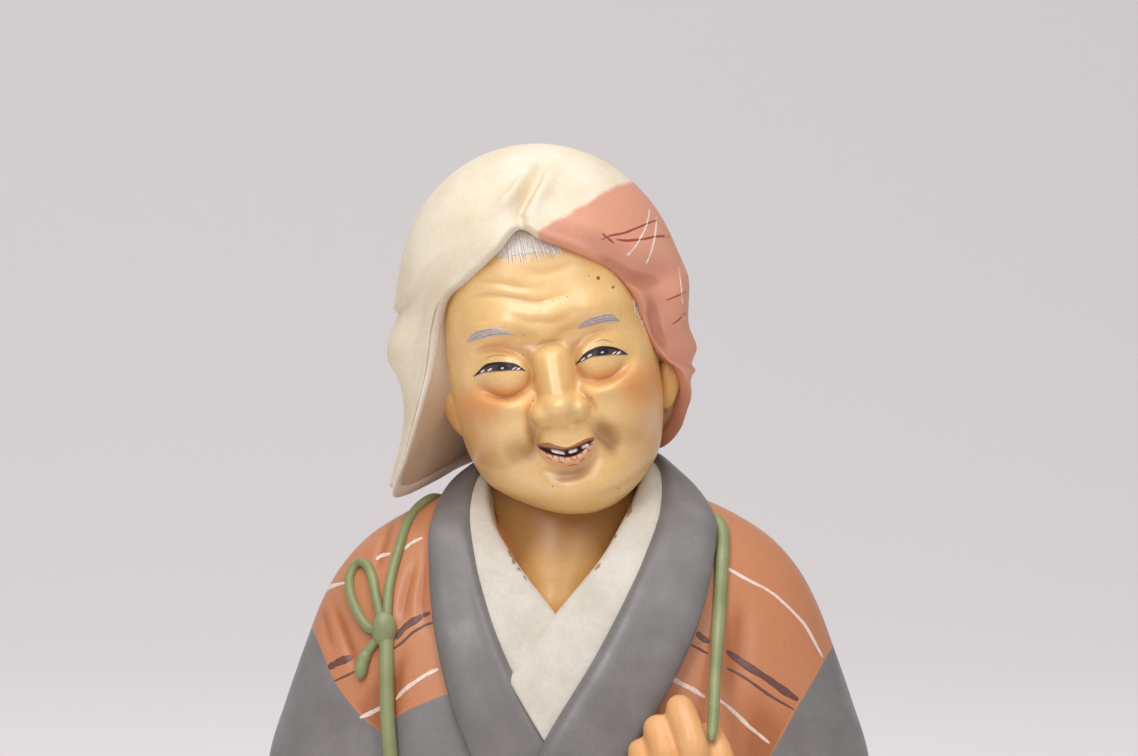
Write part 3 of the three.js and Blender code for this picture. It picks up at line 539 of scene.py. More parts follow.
# Where the crown's cloth folds over the left flap.
FLAP_FOLD = smooth_line([(-11.4, 15), (-15, 12.5), (-17.7, 9.8), (-19.6, 8.3), (-21.2, 7), (-23.4, 5.4),
    (-26, 3.4)])
SCARF_FOLDS = grooves(
    ([(-3.2, 11.5), (-1.2, 16.6), (0.2, 19.4), (2.2, 21.8), (3.5, 23.9), (5.2, 25.4), (8.2, 27.2)], 1, 1.7),
    ([(-6.4, 17), (-3.4, 18.9), (-1.2, 20.4), (0.8, 22.6), (2.6, 25.6)], 1, -0.8),
    ([(-0.4, 12), (1.6, 18.2), (3.2, 20.6), (4.8, 23), (7.4, 25.6)], 1.1, -1),
    ([(-1.5, 19.4), (-0.8, 17.6), (-0.2, 16.2), (0.8, 14.6)], 0.5, 0.6),
    ([(7, 12.6), (9.4, 10.6), (11.6, 8.3), (13.8, 6), (16.2, 4.8), (19.2, 4.2), (21.6, 4.2)], 1.5, 1.5),
    ([(14.4, 6.5), (16.6, 1.5), (16.7, -1.5), (16.8, -4), (17.4, -6.4), (18.6, -8.2)], 1.2, 1.5),
    ([(18.6, 7.4), (20, 3.6), (19.4, 0.4), (19.2, -2.6), (19.8, -5.6), (21, -8.2)], 1.2, -0.9),
    ([(0.2, 17), (6.5, 14.2), (12.6, 10.8), (17.5, 7.6), (22, 5.4)], 1.9, -0.8),
    ([(-12.4, 13.6), (-16.5, 8.6), (-19.3, 3), (-20.7, -1), (-23.4, -9), (-25.2, -13.6), (-27.4, -19)],
        0.9, 0.6),
)
# How far the cloth swells at heights on either side.
LEFT_SWELL = [(20, 0), (12, -0.5), (6.8, 0), (4, 1.7), (1, 3.6), (-2, 4), (-6, 2.6), (-10, 2.2), (-13.5, 3),
    (-17.5, 5), (-20.5, 1), (-28, 0)]
RIGHT_SWELL = [(20, 0), (10, 0.2), (6.5, 0.6), (3.5, 1.2), (-0.5, 1.1), (-3.8, 1.4), (-6.2, 3.5),
    (-8.4, 3.5), (-11, 1.9), (-14, 1.4), (-17, 1), (-21, 1.5), (-28, 0)]
# Shares of the grid's rows given to the outside, the lip and the inside of the cloth.
SCARF_EDGE, SCARF_INSIDE = 0.62, 0.70


def scarf_relief(a, b):
    """Folds, and the crown's edge standing over the flap."""
    distance, along, side = near_line(a, b, FLAP_FOLD)
    behind = np.exp(-(np.where(side < 0, distance, 0) / 5) ** 2)
    ends = ease(along / 0.3) * ease((1 - along) / 0.25)
    return creases(a, b, SCARF_FOLDS) + CROWN_EDGE * ends * ease(0.5 - side * distance / 0.6) * behind


def scarf_swell(a, b):
    """How far the cloth stands out at both sides, by height."""
    left, right = (columns_at(table, b)[0] for table in (LEFT_SWELL, RIGHT_SWELL))
    return left * ease((-a - 13) / 7) + right * ease((a - 13) / 7)


def scarf_radius(rim_radius, travel):
    """Ball radius, flaring to the rim's radius as travel ** flare."""
    flare = 9 - 6.8 * ease((rim_radius - SCARF_BALL["radius"]) / 3)
    return SCARF_BALL["radius"] + (rim_radius - SCARF_BALL["radius"]) * travel**flare


SCARF_CENTRE = np.array([SCARF_BALL["a"], SCARF_BALL["b"], SCARF_BALL["f"]])
SCARF_STRETCH = np.array([1, SCARF_BALL["tall"], 1])


def scarf_grid(rows, columns):
    """Spokes from the pole behind the head to the rim, round the lip and in to the middle."""
    t = np.linspace(0.004, 1, rows)[:, None]
    turn = np.linspace(0, 1, columns, endpoint=False)[None, :]
    rim = spline(SCARF_RIM, turn, closed=True)
    toward = (rim - SCARF_CENTRE) / SCARF_STRETCH
    rim_radius = np.linalg.norm(toward, axis=-1)
    spread = np.arccos(np.clip(unit(toward) @ SCARF_POLE, -1, 1))
    aside = unit(unit(toward) - np.cos(spread)[..., None] * SCARF_POLE)

    def heading(angle):
        return np.cos(angle)[..., None] * SCARF_POLE + np.sin(angle)[..., None] * aside

    outer = np.clip(t / SCARF_EDGE, 0, 1)
    lip = np.clip((t - SCARF_EDGE) / (SCARF_INSIDE - SCARF_EDGE), 0, 1)
    inner = np.clip((t - SCARF_INSIDE) / (1 - SCARF_INSIDE), 0, 1)
    rolled = LIP_ROUND * (np.sin(np.pi * lip) ** 0.6 - ease(outer / 0.5))
    rolled = rolled - RECESS * ease(inner / 0.3)
    outside = scarf_radius(rim_radius, outer)
    turned_in = 0.5 - 0.5 * np.cos(np.pi * lip)
    plain = SCARF_CENTRE + heading(spread * outer) * outside[..., None] * SCARF_STRETCH
    a, b, f = np.moveaxis(plain, -1, 0)
    held = ease((outer - 0.84) / 0.16) * ease((rim[..., 2] - 1) / 6)
    swell = scarf_swell(a, b) * (1 - held)
    relief = (scarf_relief(a, b) * (1 - turned_in) + swell) * ease((f + 10) / 10)
    radius = (outside + relief - SCARF_WALL * turned_in) * (1 - 0.88 * inner)
    spoke = heading(spread * outer + rolled / rim_radius)
    place = SCARF_CENTRE + spoke * radius[..., None] * SCARF_STRETCH
    return place, *np.broadcast_arrays(lip, turn)


def front_of(grid):
    """A surface of x and y laid on a grid of places: the nearest point's, with its slope."""
    ahead, beside = np.gradient(grid, axis=0), np.gradient(grid, axis=1)
    normal = unit(np.cross(ahead, beside)).reshape(-1, 3)
    points = grid.reshape(-1, 3)
    kept = (points[:, 2] > -6) & (np.abs(normal[:, 2]) > 0.12)
    points, normal = points[kept], normal[kept]

    def depth(x, y):
        flat = joined(np.ravel(x), np.ravel(y))
        gap = ((flat[:, None] - points[None, :, :2]) ** 2).sum(-1) - 1e-3 * points[None, :, 2]
        near = gap.argmin(1)
        step = flat - points[near, :2]
        rise = -(step * normal[near, :2]).sum(-1) / normal[near, 2]
        return (points[near, 2] + rise).reshape(np.shape(x))

    return depth


# Body

# Height, middle across, half width, reach forwards and reach backwards of the robe.
ROBE_SECTIONS = [
    (0, 0, 47.6, 25, 25),
    (12, 0, 47.4, 24.6, 25),
    (24, 0, 46.2, 23.8, 24.8),
    (32.6, 0, 43.6, 22.6, 24.2),
    (41.8, 0, 40.4, 20.4, 23),
    (48, 0, 38, 18.4, 21.4),
    (53, 0, 35.2, 16.2, 19.6),
    (57.5, 0, 31.2, 13.4, 17.4),
    (61, 0, 26, 10.4, 15),
    (63.8, 0, 20, 7.6, 12.6),
    (66.5, 0, 12, 5, 9),
    (68, 0, 5, 2.5, 4),
]
ROBE_SQUARENESS = 2.3
ROBE_FOLDS = grooves(
    ([(-31, 2), (-30.5, 16), (-29, 30), (-27, 42)], 3.2, 1.8),
    ([(32, 2), (31.5, 14), (30.5, 24), (27, 40)], 3.2, 1.8),
    ([(-38, 10), (-37, 22), (-34, 36)], 2.4, 1),
    ([(39, 8), (37.5, 20), (33, 38)], 2.4, 1),
    ([(-26.4, 62), (-27.4, 59.4), (-28.8, 54.9), (-29.6, 52)], 0.8, 0.7),
    ([(-37.2, 51), (-35.3, 46.7), (-33.9, 43.4), (-32.4, 39.5), (-31.6, 36)], 0.9, 0.8),
    ([(-38.4, 49), (-36.9, 44.4), (-35.6, 39.5)], 0.7, 0.6),
    ([(-22.8, 56.4), (-24, 52.4), (-25, 48), (-25.2, 45)], 0.8, 0.6),
    ([(-21.8, 58), (-22.1, 52.2), (-22.3, 48), (-21.2, 43)], 0.7, 0.6),
    ([(-24.6, 43), (-25.9, 37.7), (-26.3, 33)], 0.9, 0.6),
    ([(24, 32), (25.5, 42), (26, 52)], 2, 0.7),
)
NECKLINE = {"x": -1, "low": 47, "high": 64, "half": 11, "deep": 5.2}


def neckline_dip(x, z):
    """How far the robe sinks below the skin inside the neckline."""
    rise = np.clip((z - NECKLINE["low"]) / (NECKLINE["high"] - NECKLINE["low"]), 0, 1.2)
    inside = NECKLINE["half"] * rise**0.8 - np.abs(x - NECKLINE["x"])
    return NECKLINE["deep"] * ease((inside + 2.5) / 2.5) * ease(rise / 0.1)


def robe_relief(x, z, forwards):
    """Folds and the sunk neckline, fading out towards the sides."""
    dip = np.where(forwards > 0, neckline_dip(x, z), 0)
    return (creases(x, z, ROBE_FOLDS) - dip) * ease((forwards + 0.1) / 0.4)


def robe_grid(rows, columns):
    """x, y and z of the robe's sections with folds on their front, and the cosine."""
    z, x, ahead, forwards = shell(ROBE_SECTIONS, ROBE_SQUARENESS, rows, columns, 0.25)
    return joined(x, -ahead - robe_relief(x, z, forwards), z), forwards


def robe_front(x, z):
    """y = -front * (1 - |x / half| ** n) ** (1 / n), without its folds."""
    _, half, front, _ = columns_at(ROBE_SECTIONS, z)
    rest = np.maximum(0, 1 - np.abs(x / half) ** ROBE_SQUARENESS)
    return -front * rest ** (1 / ROBE_SQUARENESS)


def on_robe(x, z):
    """Place of x and z on the front of the robe, folds included."""
    half = columns_at(ROBE_SECTIONS, z)[1]
    forwards = np.sqrt(np.clip(1 - np.abs(x / half) ** ROBE_SQUARENESS, 0, 1))
    return joined(x, robe_front(x, z) - robe_relief(x, z, forwards), z)


def laid(points, proud=0):
    """Points in space: a row of x and z lies on the robe, proud of it by some millimetres."""
    return [row if len(row) == 3 else (row[0], float(robe_front(*row)) - proud, row[1]) for row in points]


# Height, middle across, half width, reach forwards and backwards of the neck and the breast.
NECK_SECTIONS = [
    (40, -2, 6, 13, 4),
    (47, -2, 8, 16.2, 5),
    (52, -1.6, 10.5, 15, 6),
    (57, -1, 12, 12.6, 7),
    (62, -0.6, 12, 10.8, 7.6),
    (68, -0.8, 11.4, 9.8, 8),
    (78, -1.6, 10.4, 9, 8),
]


def neck_grid(rows, columns):
    """An ellipse at each height, its front and back reaches apart."""
    cosine, sine = around(columns)
    z, middle, half, front, back = np.moveaxis(spline(NECK_SECTIONS, shares(rows)[:, None]), -1, 0)
    return joined(middle + half * cosine, -sine * np.where(sine > 0, front, back), z)


# Collars: the inner and outer edges of each band, from the bottom of the left end, over the
# shoulder, behind the neck and down to the right end. Rows of x and z lie on the robe.
GREY_INNER = [
    (5, 16), (-3.3, 29.6), (-8, 38.3), (-11, 45.6), (-13.2, 53),
    (-14.2, 60), (-12.6, 2, 68), (-6, 9, 69.6), (6, 9, 69.6), (12.8, 2, 69),
    (13.2, 62.5), (10.8, 55.5), (7.8, 49), (3.4, 40.8),
    (-3.2, 30.1), (-12, 14),
]
GREY_OUTER = [
    (-8, 12), (-15.6, 28.4), (-18.4, 36.6), (-20.2, 45), (-20.9, 53),
    (-20.6, 60), (-16.4, 4, 65), (-7.5, 12.4, 65.8), (7.5, 12.4, 65.8), (16.4, 4, 65),
    (21.6, 60.6), (21.2, 53.5), (18.6, 44.4), (14.2, 35.4),
    (8.6, 25.2), (0, 8),
]
WHITE_INNER = [
    (4, 38), (-2.2, 47.6), (-6.2, 52.6), (-9.2, 56.8), (-11.6, 61.4),
    (-11.6, -1, 67), (-6, 8.4, 71), (6, 8.4, 71), (11, -1, 69), (9.8, 64), (8, 60.7),
    (4.6, 55.2), (-2, 47.4), (-9, 38),
]
WHITE_OUTER = [
    (-4, 31), (-9, 39), (-12.4, 46), (-14.6, 54), (-15.4, 61),
    (-13.6, 1, 66), (-7, 11, 69), (7, 11, 69), (13.6, 1, 67), (14, 62), (11.8, 55),
    (8.6, 48), (2, 36), (-3, 28),
]
GREY_WALL, WHITE_WALL = 2, 1.4  # the collar's and the under-collar's thickness


def band_grid(inner, outer, wall, lift, overlap, steps=300, sides=48):
    """middle + lean * across / 2 + raised * outward: a flat band with rounded lips.

    lean and the raise are powers below 1 of cos and sin, and the crossing end is lifted.
    """
    t = shares(steps)[:, None]
    cosine, sine = around(sides)
    near, far = spline(laid(inner), t), spline(laid(outer), t)
    across, middle = far - near, (near + far) / 2
    x, y, z = np.moveaxis(middle, -1, 0)
    outward = unit(joined(0.35 * x, y, 0.35 * (z - 60) + 8))
    lean = signed_power(cosine, 0.55)[:, None]
    out = signed_power(sine, 0.7)
    raised = lift + overlap * ease((t - 0.62) / 0.2) + wall * np.where(out > 0, out, 2.2 * out)
    return middle + 0.5 * lean * across + outward * raised[..., None]


GREY_BAND = (GREY_INNER, GREY_OUTER, GREY_WALL, 0.3, 1.4)
WHITE_BAND = (WHITE_INNER, WHITE_OUTER, WHITE_WALL, 0, 0.8)

CORD_RADIUS = 1.1
# The upper part of the left cord and its bow are thinner, by this share.
THIN_CORD = 0.68
LEFT_CORD = [
    (-18.6, 2, 63.2), (-21.4, -0.8, 63.6), (-24.2, 61.2), (-25.9, 56.7), (-27.3, 51),
    (-27.6, 45), (-27.6, 39), (-27.4, 32), (-26.6, 22), (-25.6, 4),
]
RIGHT_CORD = [
    (21.8, 61.6), (23.3, 59.2), (23.2, 54.8), (22.6, 45.8),
    (21.9, -24.6, 38), (21.6, -28.8, 33.6), (21.2, -32.4, 29.6),
]
BOW_LOOP = [
    (-28.2, 45.2), (-29.2, 49), (-30, 52.4), (-31, 54.1), (-32.3, 54.1),
    (-33.4, 52.4), (-33.4, 50), (-32.3, 47.3), (-30.6, 45), (-28.4, 44.2),
]
BOW_TAIL = [(-27.6, 44.4), (-29.6, 42.6), (-31.2, 40), (-31.6, 37.2)]
KNOT = {"place": (-28, 44.8), "radii": (1.9, 1.6, 2.7)}


def cord_grid(points, ends, from_share, to_share):
    """A moulded cord half a radius proud of the robe, its radius changing share halfway down."""
    whole = rounded_ends(CORD_RADIUS, ends)

    def radius_at(t):
        return whole(t) * (from_share + (to_share - from_share) * ease((t - 0.5) / 0.1))

    return bar(laid(points, 0.55 * CORD_RADIUS), radius_at, 220)


FINGER_RADIUS = 2.3
# Each finger from the knuckle over the bend to the palm.
FINGERS = [
    ((10.8, -25.5, 28.6), (11.6, -29.6, 24.4), (14.4, -27.5, 16.5)),
    ((12.8, -26, 32.4), (14.4, -30.6, 27), (16.8, -28.5, 17)),
    ((15.9, -26.5, 35.6), (18.5, -32, 28.6), (20.2, -29, 17.5)),
    ((20.2, -25.5, 31), (22.6, -30.4, 26), (23.2, -28, 17.5)),
]
THUMB = ((24.5, -25, 18), (21, -31, 14.5), (14.5, -31.5, 14))
THUMB_RADIUS = 2.4
PALM = {"centre": (16.6, -23.8, 21), "radii": (7.6, 8, 11)}
WRIST = [(25, -23, 11), (19, -26, 13.5), (16, -26.5, 18)]
WRIST_RADIUS = 5.6
SLEEVE = [(34, -4, 8), (31, -14.5, 9), (26, -20.5, 10.2), (20.5, -23, 11.5)]
SLEEVE_RADII = {"back": 8.4, "mouth": 9.6}


# Materials

SPECK_SPACING = 3.4


def linear(hex_colour):
    """sRGB hex to linear: ((c + 0.055) / 1.055) ** 2.4 above the toe, c / 12.92 below it."""
    channels = np.array([int(hex_colour[k:k + 2], 16) for k in (1, 3, 5)]) / 255
    toe = channels <= 0.04045
    return (*np.where(toe, channels / 12.92, ((channels + 0.055) / 1.055) ** 2.4).tolist(), 1)


def feed(tree, node, inputs):
    """Give each of a node's inputs its value, or link the socket that feeds it."""
    for key, value in inputs.items():
        if isinstance(value, bpy.types.NodeSocket):
            tree.links.new(value, node.inputs[key])
        else:
            node.inputs[key].default_value = value


def add(tree, kind, inputs, **settings):
    """Add a node with its own settings and inputs, and return its outputs."""
    node = tree.nodes.new(kind)
    for key, value in settings.items():
        setattr(node, key, value)
    feed(tree, node, inputs)
    return node.outputs


def noise(tree, place, size, detail, roughness):
    """Noise whose features are about a size in millimetres."""
    inputs = {"Vector": place, "Scale": 1 / (size * MM), "Detail": detail, "Roughness": roughness}
    return add(tree, "ShaderNodeTexNoise", inputs)["Fac"]


def remap(tree, value, low, high, to_low=0, to_high=1, **settings):
    """A value's range from low to high, held there and carried to another range."""
    inputs = {"Value": value, "From Min": low, "From Max": high, "To Min": to_low, "To Max": to_high}
    return add(tree, "ShaderNodeMapRange", inputs, **settings)[0]


def maths(tree, operation, *inputs):
    """One operation on numbers and sockets."""
    return add(tree, "ShaderNodeMath", dict(enumerate(inputs)), operation=operation)[0]


def mixed(tree, share, first, second):
    """Two colours, mixed by the second one's share."""
    return add(tree, "ShaderNodeMix", {0: share, 6: first, 7: second}, data_type="RGBA")[2]


def new_material(name):
    """A material with its tree, its shader and the place on the object."""
    material = bpy.data.materials.new(name)
    material.use_nodes = True
    tree = material.node_tree
    return material, tree, tree.nodes["Principled BSDF"], add(tree, "ShaderNodeTexCoord", {})["Object"]


def painted_clay(name, colour, second, roughness, layers=(), grain=0.5, depth=0.012, specks=0, gloss=0.5):
    """Glue-bound paint over a chalk ground on fired clay.

    Its colour drifts between two close tones in patches of a few millimetres and along fine
    brush grain, tiny dark specks sit in it, and pits and grain give the bump. Each layer is a
    painted area: the stored mark that masks it, sharp or airbrushed, the mark's values where it
    begins and is full, its colour, its strength and how far its edge wanders.
    """
    material, tree, shader, place = new_material(name)
    drift = noise(tree, place, 7, 4, 0.6)
    fine = noise(tree, place, grain, 3, 0.65)
    wander = maths(tree, "SUBTRACT", drift, 0.5)
    base = mixed(tree, remap(tree, drift, 0.35, 0.65), linear(colour), linear(second))
    for mark, begin, full, paint, strength, shift in layers:
        stored = add(tree, "ShaderNodeAttribute", {}, attribute_name=mark)["Fac"]
        moved = maths(tree, "MULTIPLY_ADD", wander, shift, stored)
        mask = remap(tree, moved, begin, full, 0, strength, interpolation_type="SMOOTHSTEP")
        base = mixed(tree, mask, base, linear(paint))
    tone = remap(tree, fine, 0.3, 0.7, 0.95, 1.04)
    base = add(tree, "ShaderNodeHueSaturation", {"Color": base, "Value": tone})[0]
    voronoi = {"Vector": place, "Scale": 1 / (SPECK_SPACING * MM), "Randomness": 1}
    cells = add(tree, "ShaderNodeTexVoronoi", voronoi)
    if specks:
        few = add(tree, "ShaderNodeSeparateColor", {"Color": cells["Color"]})[0]
        dot = maths(tree, "LESS_THAN", cells["Distance"], remap(tree, few, 0.8, 1, 0, specks))
        base = mixed(tree, maths(tree, "MULTIPLY", dot, 0.65), base, linear("#6B4A2E"))
    pits = remap(tree, cells["Distance"], 0, 0.09, -1.2, 0)
    height = maths(tree, "ADD", fine, pits)
    feed(tree, shader, {
        "Base Color": base,
        "Roughness": remap(tree, drift, 0.3, 0.7, roughness - 0.05, roughness + 0.06),
        "Specular IOR Level": gloss,
        "Normal": add(tree, "ShaderNodeBump", {"Height": height, "Distance": depth * MM, "Strength": 1})[0],
    })
    return material


def brush_paint(name, colour, roughness):
    """A brushed line of the same paint: one colour, thinner and darker here and there."""
    material, tree, shader, place = new_material(name)
    tone = remap(tree, noise(tree, place, 0.5, 2, 0.5), 0.3, 0.7, 0.86, 1.12)
    shade = add(tree, "ShaderNodeHueSaturation", {"Color": linear(colour), "Value": tone})[0]
    feed(tree, shader, {"Base Color": shade, "Roughness": roughness})
    return material


# Places of the painted areas

BLUSH = [form(-12.2, -9.6, 4.2, 3.4, 1), form(13.2, -11, 4.2, 3.6, 1)]
# Painted shade in the eye sockets, at the inner eye corners and beside the nose.
SHADED_SOCKETS = [
    form(-5, -1.9, 4.2, 1.4, 0.7), form(5.2, -2.4, 4.2, 1.4, 0.7), form(-3.4, -4.6, 1.2, 2.4, 1),
    form(4, -4.8, 1.2, 2.4, 1), form(-3.2, -9, 0.9, 2.2, 0.8), form(3.9, -9.4, 0.9, 2.2, 0.8),
]
# Painted shade at the sides of the jaw, under the lower lip and at the right temple.
SHADED_SIDES = [
    form(-14.2, -15.5, 4, 6, 1), form(13.6, -20, 4.5, 5, 0.9), form(0.5, -22.6, 4, 0.8, 0.8),
    form(14.5, 4, 2.4, 8, 0.7),
]
PINK_EDGE = [(1.6, 15), (3.7, 15.9), (7.8, 17.3), (9.9, 17.9), (12.5, 19.3), (16.9, 19.9), (24, 20.5)]
HEM_SPAN = (0.12, 0.37)
LEFT_SIDE = (0.46, 0.97)
LEFT_CORNER, RIGHT_CORNER = -28.3, 28.6  # where the shoulder pieces' lowest corners lie across
LEFT_PATCH = smooth_line([(-47, 50), (-39.4, 43.7), (-35.8, 36.9), (-31.5, 31.8), (-28.3, 29.2)], 8)
LEFT_PATCH_FOOT = smooth_line([(-28.3, 29.2), (-26.6, 31.2), (-23.9, 33.1), (-17.9, 35.6), (-12, 37)], 8)
RIGHT_PATCH = smooth_line([(28.6, 22), (30.7, 26), (34.3, 32.3), (38.8, 39), (40.5, 41.1), (47, 47)], 8)
RIGHT_PATCH_FOOT = smooth_line([(8, 30), (18, 27), (25.5, 23.6), (28.6, 22)], 8)


def head_marks(a, b, forwards):
    """Airbrushed areas of the face, each from 0 to 1: the blush, the lower lip, the mouth's opening, and
    painted shade in the eye sockets, along the bag creases, wrinkles and folds and at the sides.
    """
    front = ease(forwards / 0.3)
    top, low, foot, inside = mouth_places(a, b)
    lip = ease((b - foot + 0.25) / 0.5) * ease((low + 0.25 - b) / 0.4)
    hole = ease((top - b + 0.15) / 0.3) * ease((b - low + 0.15) / 0.3)
    soft_folds = [dict(fold, wide=1.25 * fold["wide"]) for fold in SMILE_FOLDS] + NOSE_CREASES
    # Painted shade along the eye-bag creases, wide above each crease and narrow below it.
    bag_shade = np.zeros_like(a)
    for crease in BAG_CREASES:
        distance, along, side = near_line(a, b, crease["line"])
        ends = ease(along / 0.15) * ease((1 - along) / 0.15)
        bag_shade = bag_shade + np.exp(-((distance / np.where(side > 0, 1.9, 0.45)) ** 2)) * ends
    airbrushed = {
        mark: front * sum(mound(a, b, shape) for shape in shapes)
        for mark, shapes in (("blush", BLUSH), ("sides", SHADED_SIDES), ("socket_shade", SHADED_SOCKETS))
    }
    return {
        **airbrushed,
        "bag_shade": front * bag_shade,
        # Painted shade in the smile folds and the nose creases, less on the right cheek.
        "folds": front * np.clip(-creases(a, b, soft_folds), 0, 1) * (1 - 0.8 * ease((a - 6) / 4)),
        # Painted shade in the forehead wrinkles and the lid creases.
        "wrinkle_shade": front * np.clip(-creases(a, b, WRINKLES + LID_CREASES) / 0.4, 0, 1),
        "lip": front * lip * inside,
        "hole": front * hole * inside,
    }


def signed_distance(x, y, line):
    """Distance to a line, positive on its left."""
    distance, _, side = near_line(x, y, line)
    return distance * side


def scarf_marks(place, lip, turn):
    """Distance into the pink, painted shade in its folds, on the lower right flap and on and inside the
    turned-in edge, and the row of marks along that edge.
    """
    a, b, f = np.moveaxis(place, -1, 0)
    below = np.interp(a, *np.array(PINK_EDGE).T) - b
    pink = np.minimum(below, a - 1.6 - 0.55 * np.maximum(0, -f - 2))
    hem = ease((turn - HEM_SPAN[0]) / 0.03) * ease((HEM_SPAN[1] - turn) / 0.03)
    # Painted shade: browner cream on the lip where the crown folds over the left flap, and deep inside the
    # flap lower down.
    flap_fold_shade = lip * np.exp(-(np.hypot(a + 13.6, b - 7.6) / 4.2) ** 2)
    # Painted shade in the scarf's fold valleys, darker terracotta where they run into the pink.
    folds = ease((f + 6) / 6) * (lip < 0.5) * np.clip(-creases(a, b, SCARF_FOLDS), 0, 1)
    return {
        "pink": pink,
        "valley_shade": folds,
        "pink_valley_shade": folds * ease((pink + 0.5) / 1),
        # Painted shade: darker terracotta on the lower right of the scarf, behind the jaw.
        "drape_shade": ease((-9 - b) / 10) * ease((a - 8) / 4),
        # Painted shade: a greyer cream on the turned-in lip, except along the right side.
        "inside": lip * ease((LEFT_SIDE[0] - turn) / 0.05 + ease((turn - LEFT_SIDE[1]) / 0.02)),
        "inner_shade": flap_fold_shade + ease((lip - 0.7) / 0.3) * ease((2 - b) / 14),
        "hem": hem * np.exp(-(((lip - 0.2) / 0.07) ** 2)),
    }


def robe_marks(place, forwards):
    """Signed distance in millimetres into the red-brown shoulder pieces, and painted shade in the fold
    valleys on them.
    """
    x, _, z = np.moveaxis(place, -1, 0)
    left, left_foot, right, right_foot = (
        signed_distance(x, z, line)
        for line in (LEFT_PATCH, LEFT_PATCH_FOOT, RIGHT_PATCH[::-1], RIGHT_PATCH_FOOT)
    )
    front = np.where(
        x < 0,
        np.where(x < LEFT_CORNER, left, left_foot),
        np.where(x > RIGHT_CORNER, -right, right_foot),
    )
    behind = z - 42.8 + 0.043 * x + 0.2 * (40 - np.abs(x))
    return {
        "shoulder": np.where(forwards > -0.02, front, behind),
        # Painted shade in the robe's fold valleys, on the shoulder pieces only.
        "valley_shade": ease(forwards / 0.2) * np.clip(-creases(x, z, ROBE_FOLDS), 0, 1) * ease(front / 0.4),
    }


# Materials of this doll

skin = painted_clay(
    "satin skin paint on clay", "#F2C987", "#E9BB77", 0.37,
    layers=[
        ("blush", 0, 1, "#DB8A48", 0.75, 0),
        # Painted shade: the next five layers darken the eye sockets, the bag creases, the wrinkles, the
        # face's sides and the folds.
        ("socket_shade", 0, 1.1, "#B67E42", 0.65, 0),
        ("bag_shade", 0, 1.1, "#CE8850", 0.6, 0),
        ("wrinkle_shade", 0.2, 1.2, "#D69A5E", 0.6, 0),
        ("sides", 0, 1, "#CF9450", 0.6, 0),
        ("folds", 0.1, 1, "#97602B", 0.72, 0),
        ("lip", 0.2, 0.9, "#EBAF88", 0.8, 0),
        ("hole", 0.25, 0.75, "#74403E", 1, 0),
    ],
    grain=0.5, depth=0.010, specks=0.045, gloss=1,
)
hand_skin = painted_clay("satin skin paint on the hand", "#EAB27A", "#E2A468", 0.38, grain=0.5, depth=0.012,
    specks=0.03)
neck_skin = painted_clay(
    "satin skin paint on neck and ears", "#D6A565", "#CC9958", 0.4,
    # The sides layer is painted shade: darker at the neck's sides and under the chin.
    layers=[("sides", 0, 1, "#9C6B36", 0.8, 0)],
    grain=0.5, depth=0.012, specks=0.03,
)
scarf_paint = painted_clay(
    "matt cream and rose scarf paint", "#EEE2CC", "#E5D5B8", 0.52,
    layers=[
        # Painted shade: the fold valleys, the lower right flap, the turned-in lip and the inside of the
        # flap; the pink and the hem marks are the cloth's own.
        ("valley_shade", 0.2, 1.6, "#D8C2A2", 0.7, 0),
        ("pink", -0.5, 0.45, "#DC9B80", 1, 1.6),
        ("pink_valley_shade", 0.3, 1.4, "#AE684A", 0.8, 0),
        ("drape_shade", 0, 1, "#B0755A", 0.75, 0),
        ("inside", 0.10, 0.34, "#E2D8CC", 0.85, 0),
        ("inner_shade", 0.1, 1, "#CFB193", 0.85, 0),
        ("hem", 0.25, 0.85, "#94795C", 0.65, 1.5),
    ],
    grain=0.45, depth=0.018, specks=0.05,
)
robe_paint = painted_clay(
    "satin grey and red-brown robe paint", "#84807F", "#7A7675", 0.40,
    layers=[
        ("shoulder", -0.12, 0.12, "#C6835C", 1, 0.5),
        # Painted shade in the fold valleys.
        ("valley_shade", 0.1, 0.8, "#A65E31", 0.7, 0),
    ],
    grain=0.5, depth=0.016, specks=0.035,
)
grey_paint = painted_clay("satin grey collar paint", "#7E7A79", "#716D6C", 0.38, grain=0.5, depth=0.018,
    specks=0.035)
white_paint = painted_clay("matt white under-collar paint", "#DAD3C9", "#CDC5B6", 0.6, grain=0.7,
    depth=0.035, specks=0.03)
green_paint = painted_clay("satin green cord paint", "#959B6E", "#848B5E", 0.40, grain=0.5, depth=0.015)
lash_black = brush_paint("black brush paint", "#261C1B", 0.4)
iris_grey = brush_paint("dark grey iris paint", "#4A3F3F", 0.3)
eye_white = brush_paint("white brush paint", "#F1ECE6", 0.4)
brow_light = brush_paint("pale lilac brow line paint", "#D6C6BE", 0.55)
brow_lilac = brush_paint("grey-lilac brow paint", "#BDAAA2", 0.55)
brow_dark = brush_paint("slate hair-line paint", "#9A929A", 0.55)
lid_grey = brush_paint("thin grey-brown line paint", "#9C8A78", 0.5)
lip_dark = brush_paint("dark plum lip-line paint", "#7A4340", 0.45)
speck_brown = brush_paint("brown age-spot paint", "#8E5A2C", 0.5)
line_red = brush_paint("dark red brush line paint", "#A04A3F", 0.45)
line_white = brush_paint("white brush line paint", "#EAD5C8", 0.5)
line_brown = brush_paint("grey-brown brush line paint", "#6E4A44", 0.45)
bare_clay = brush_paint("bare clay in a chip", "#A98C6C", 0.85)


# Head pieces

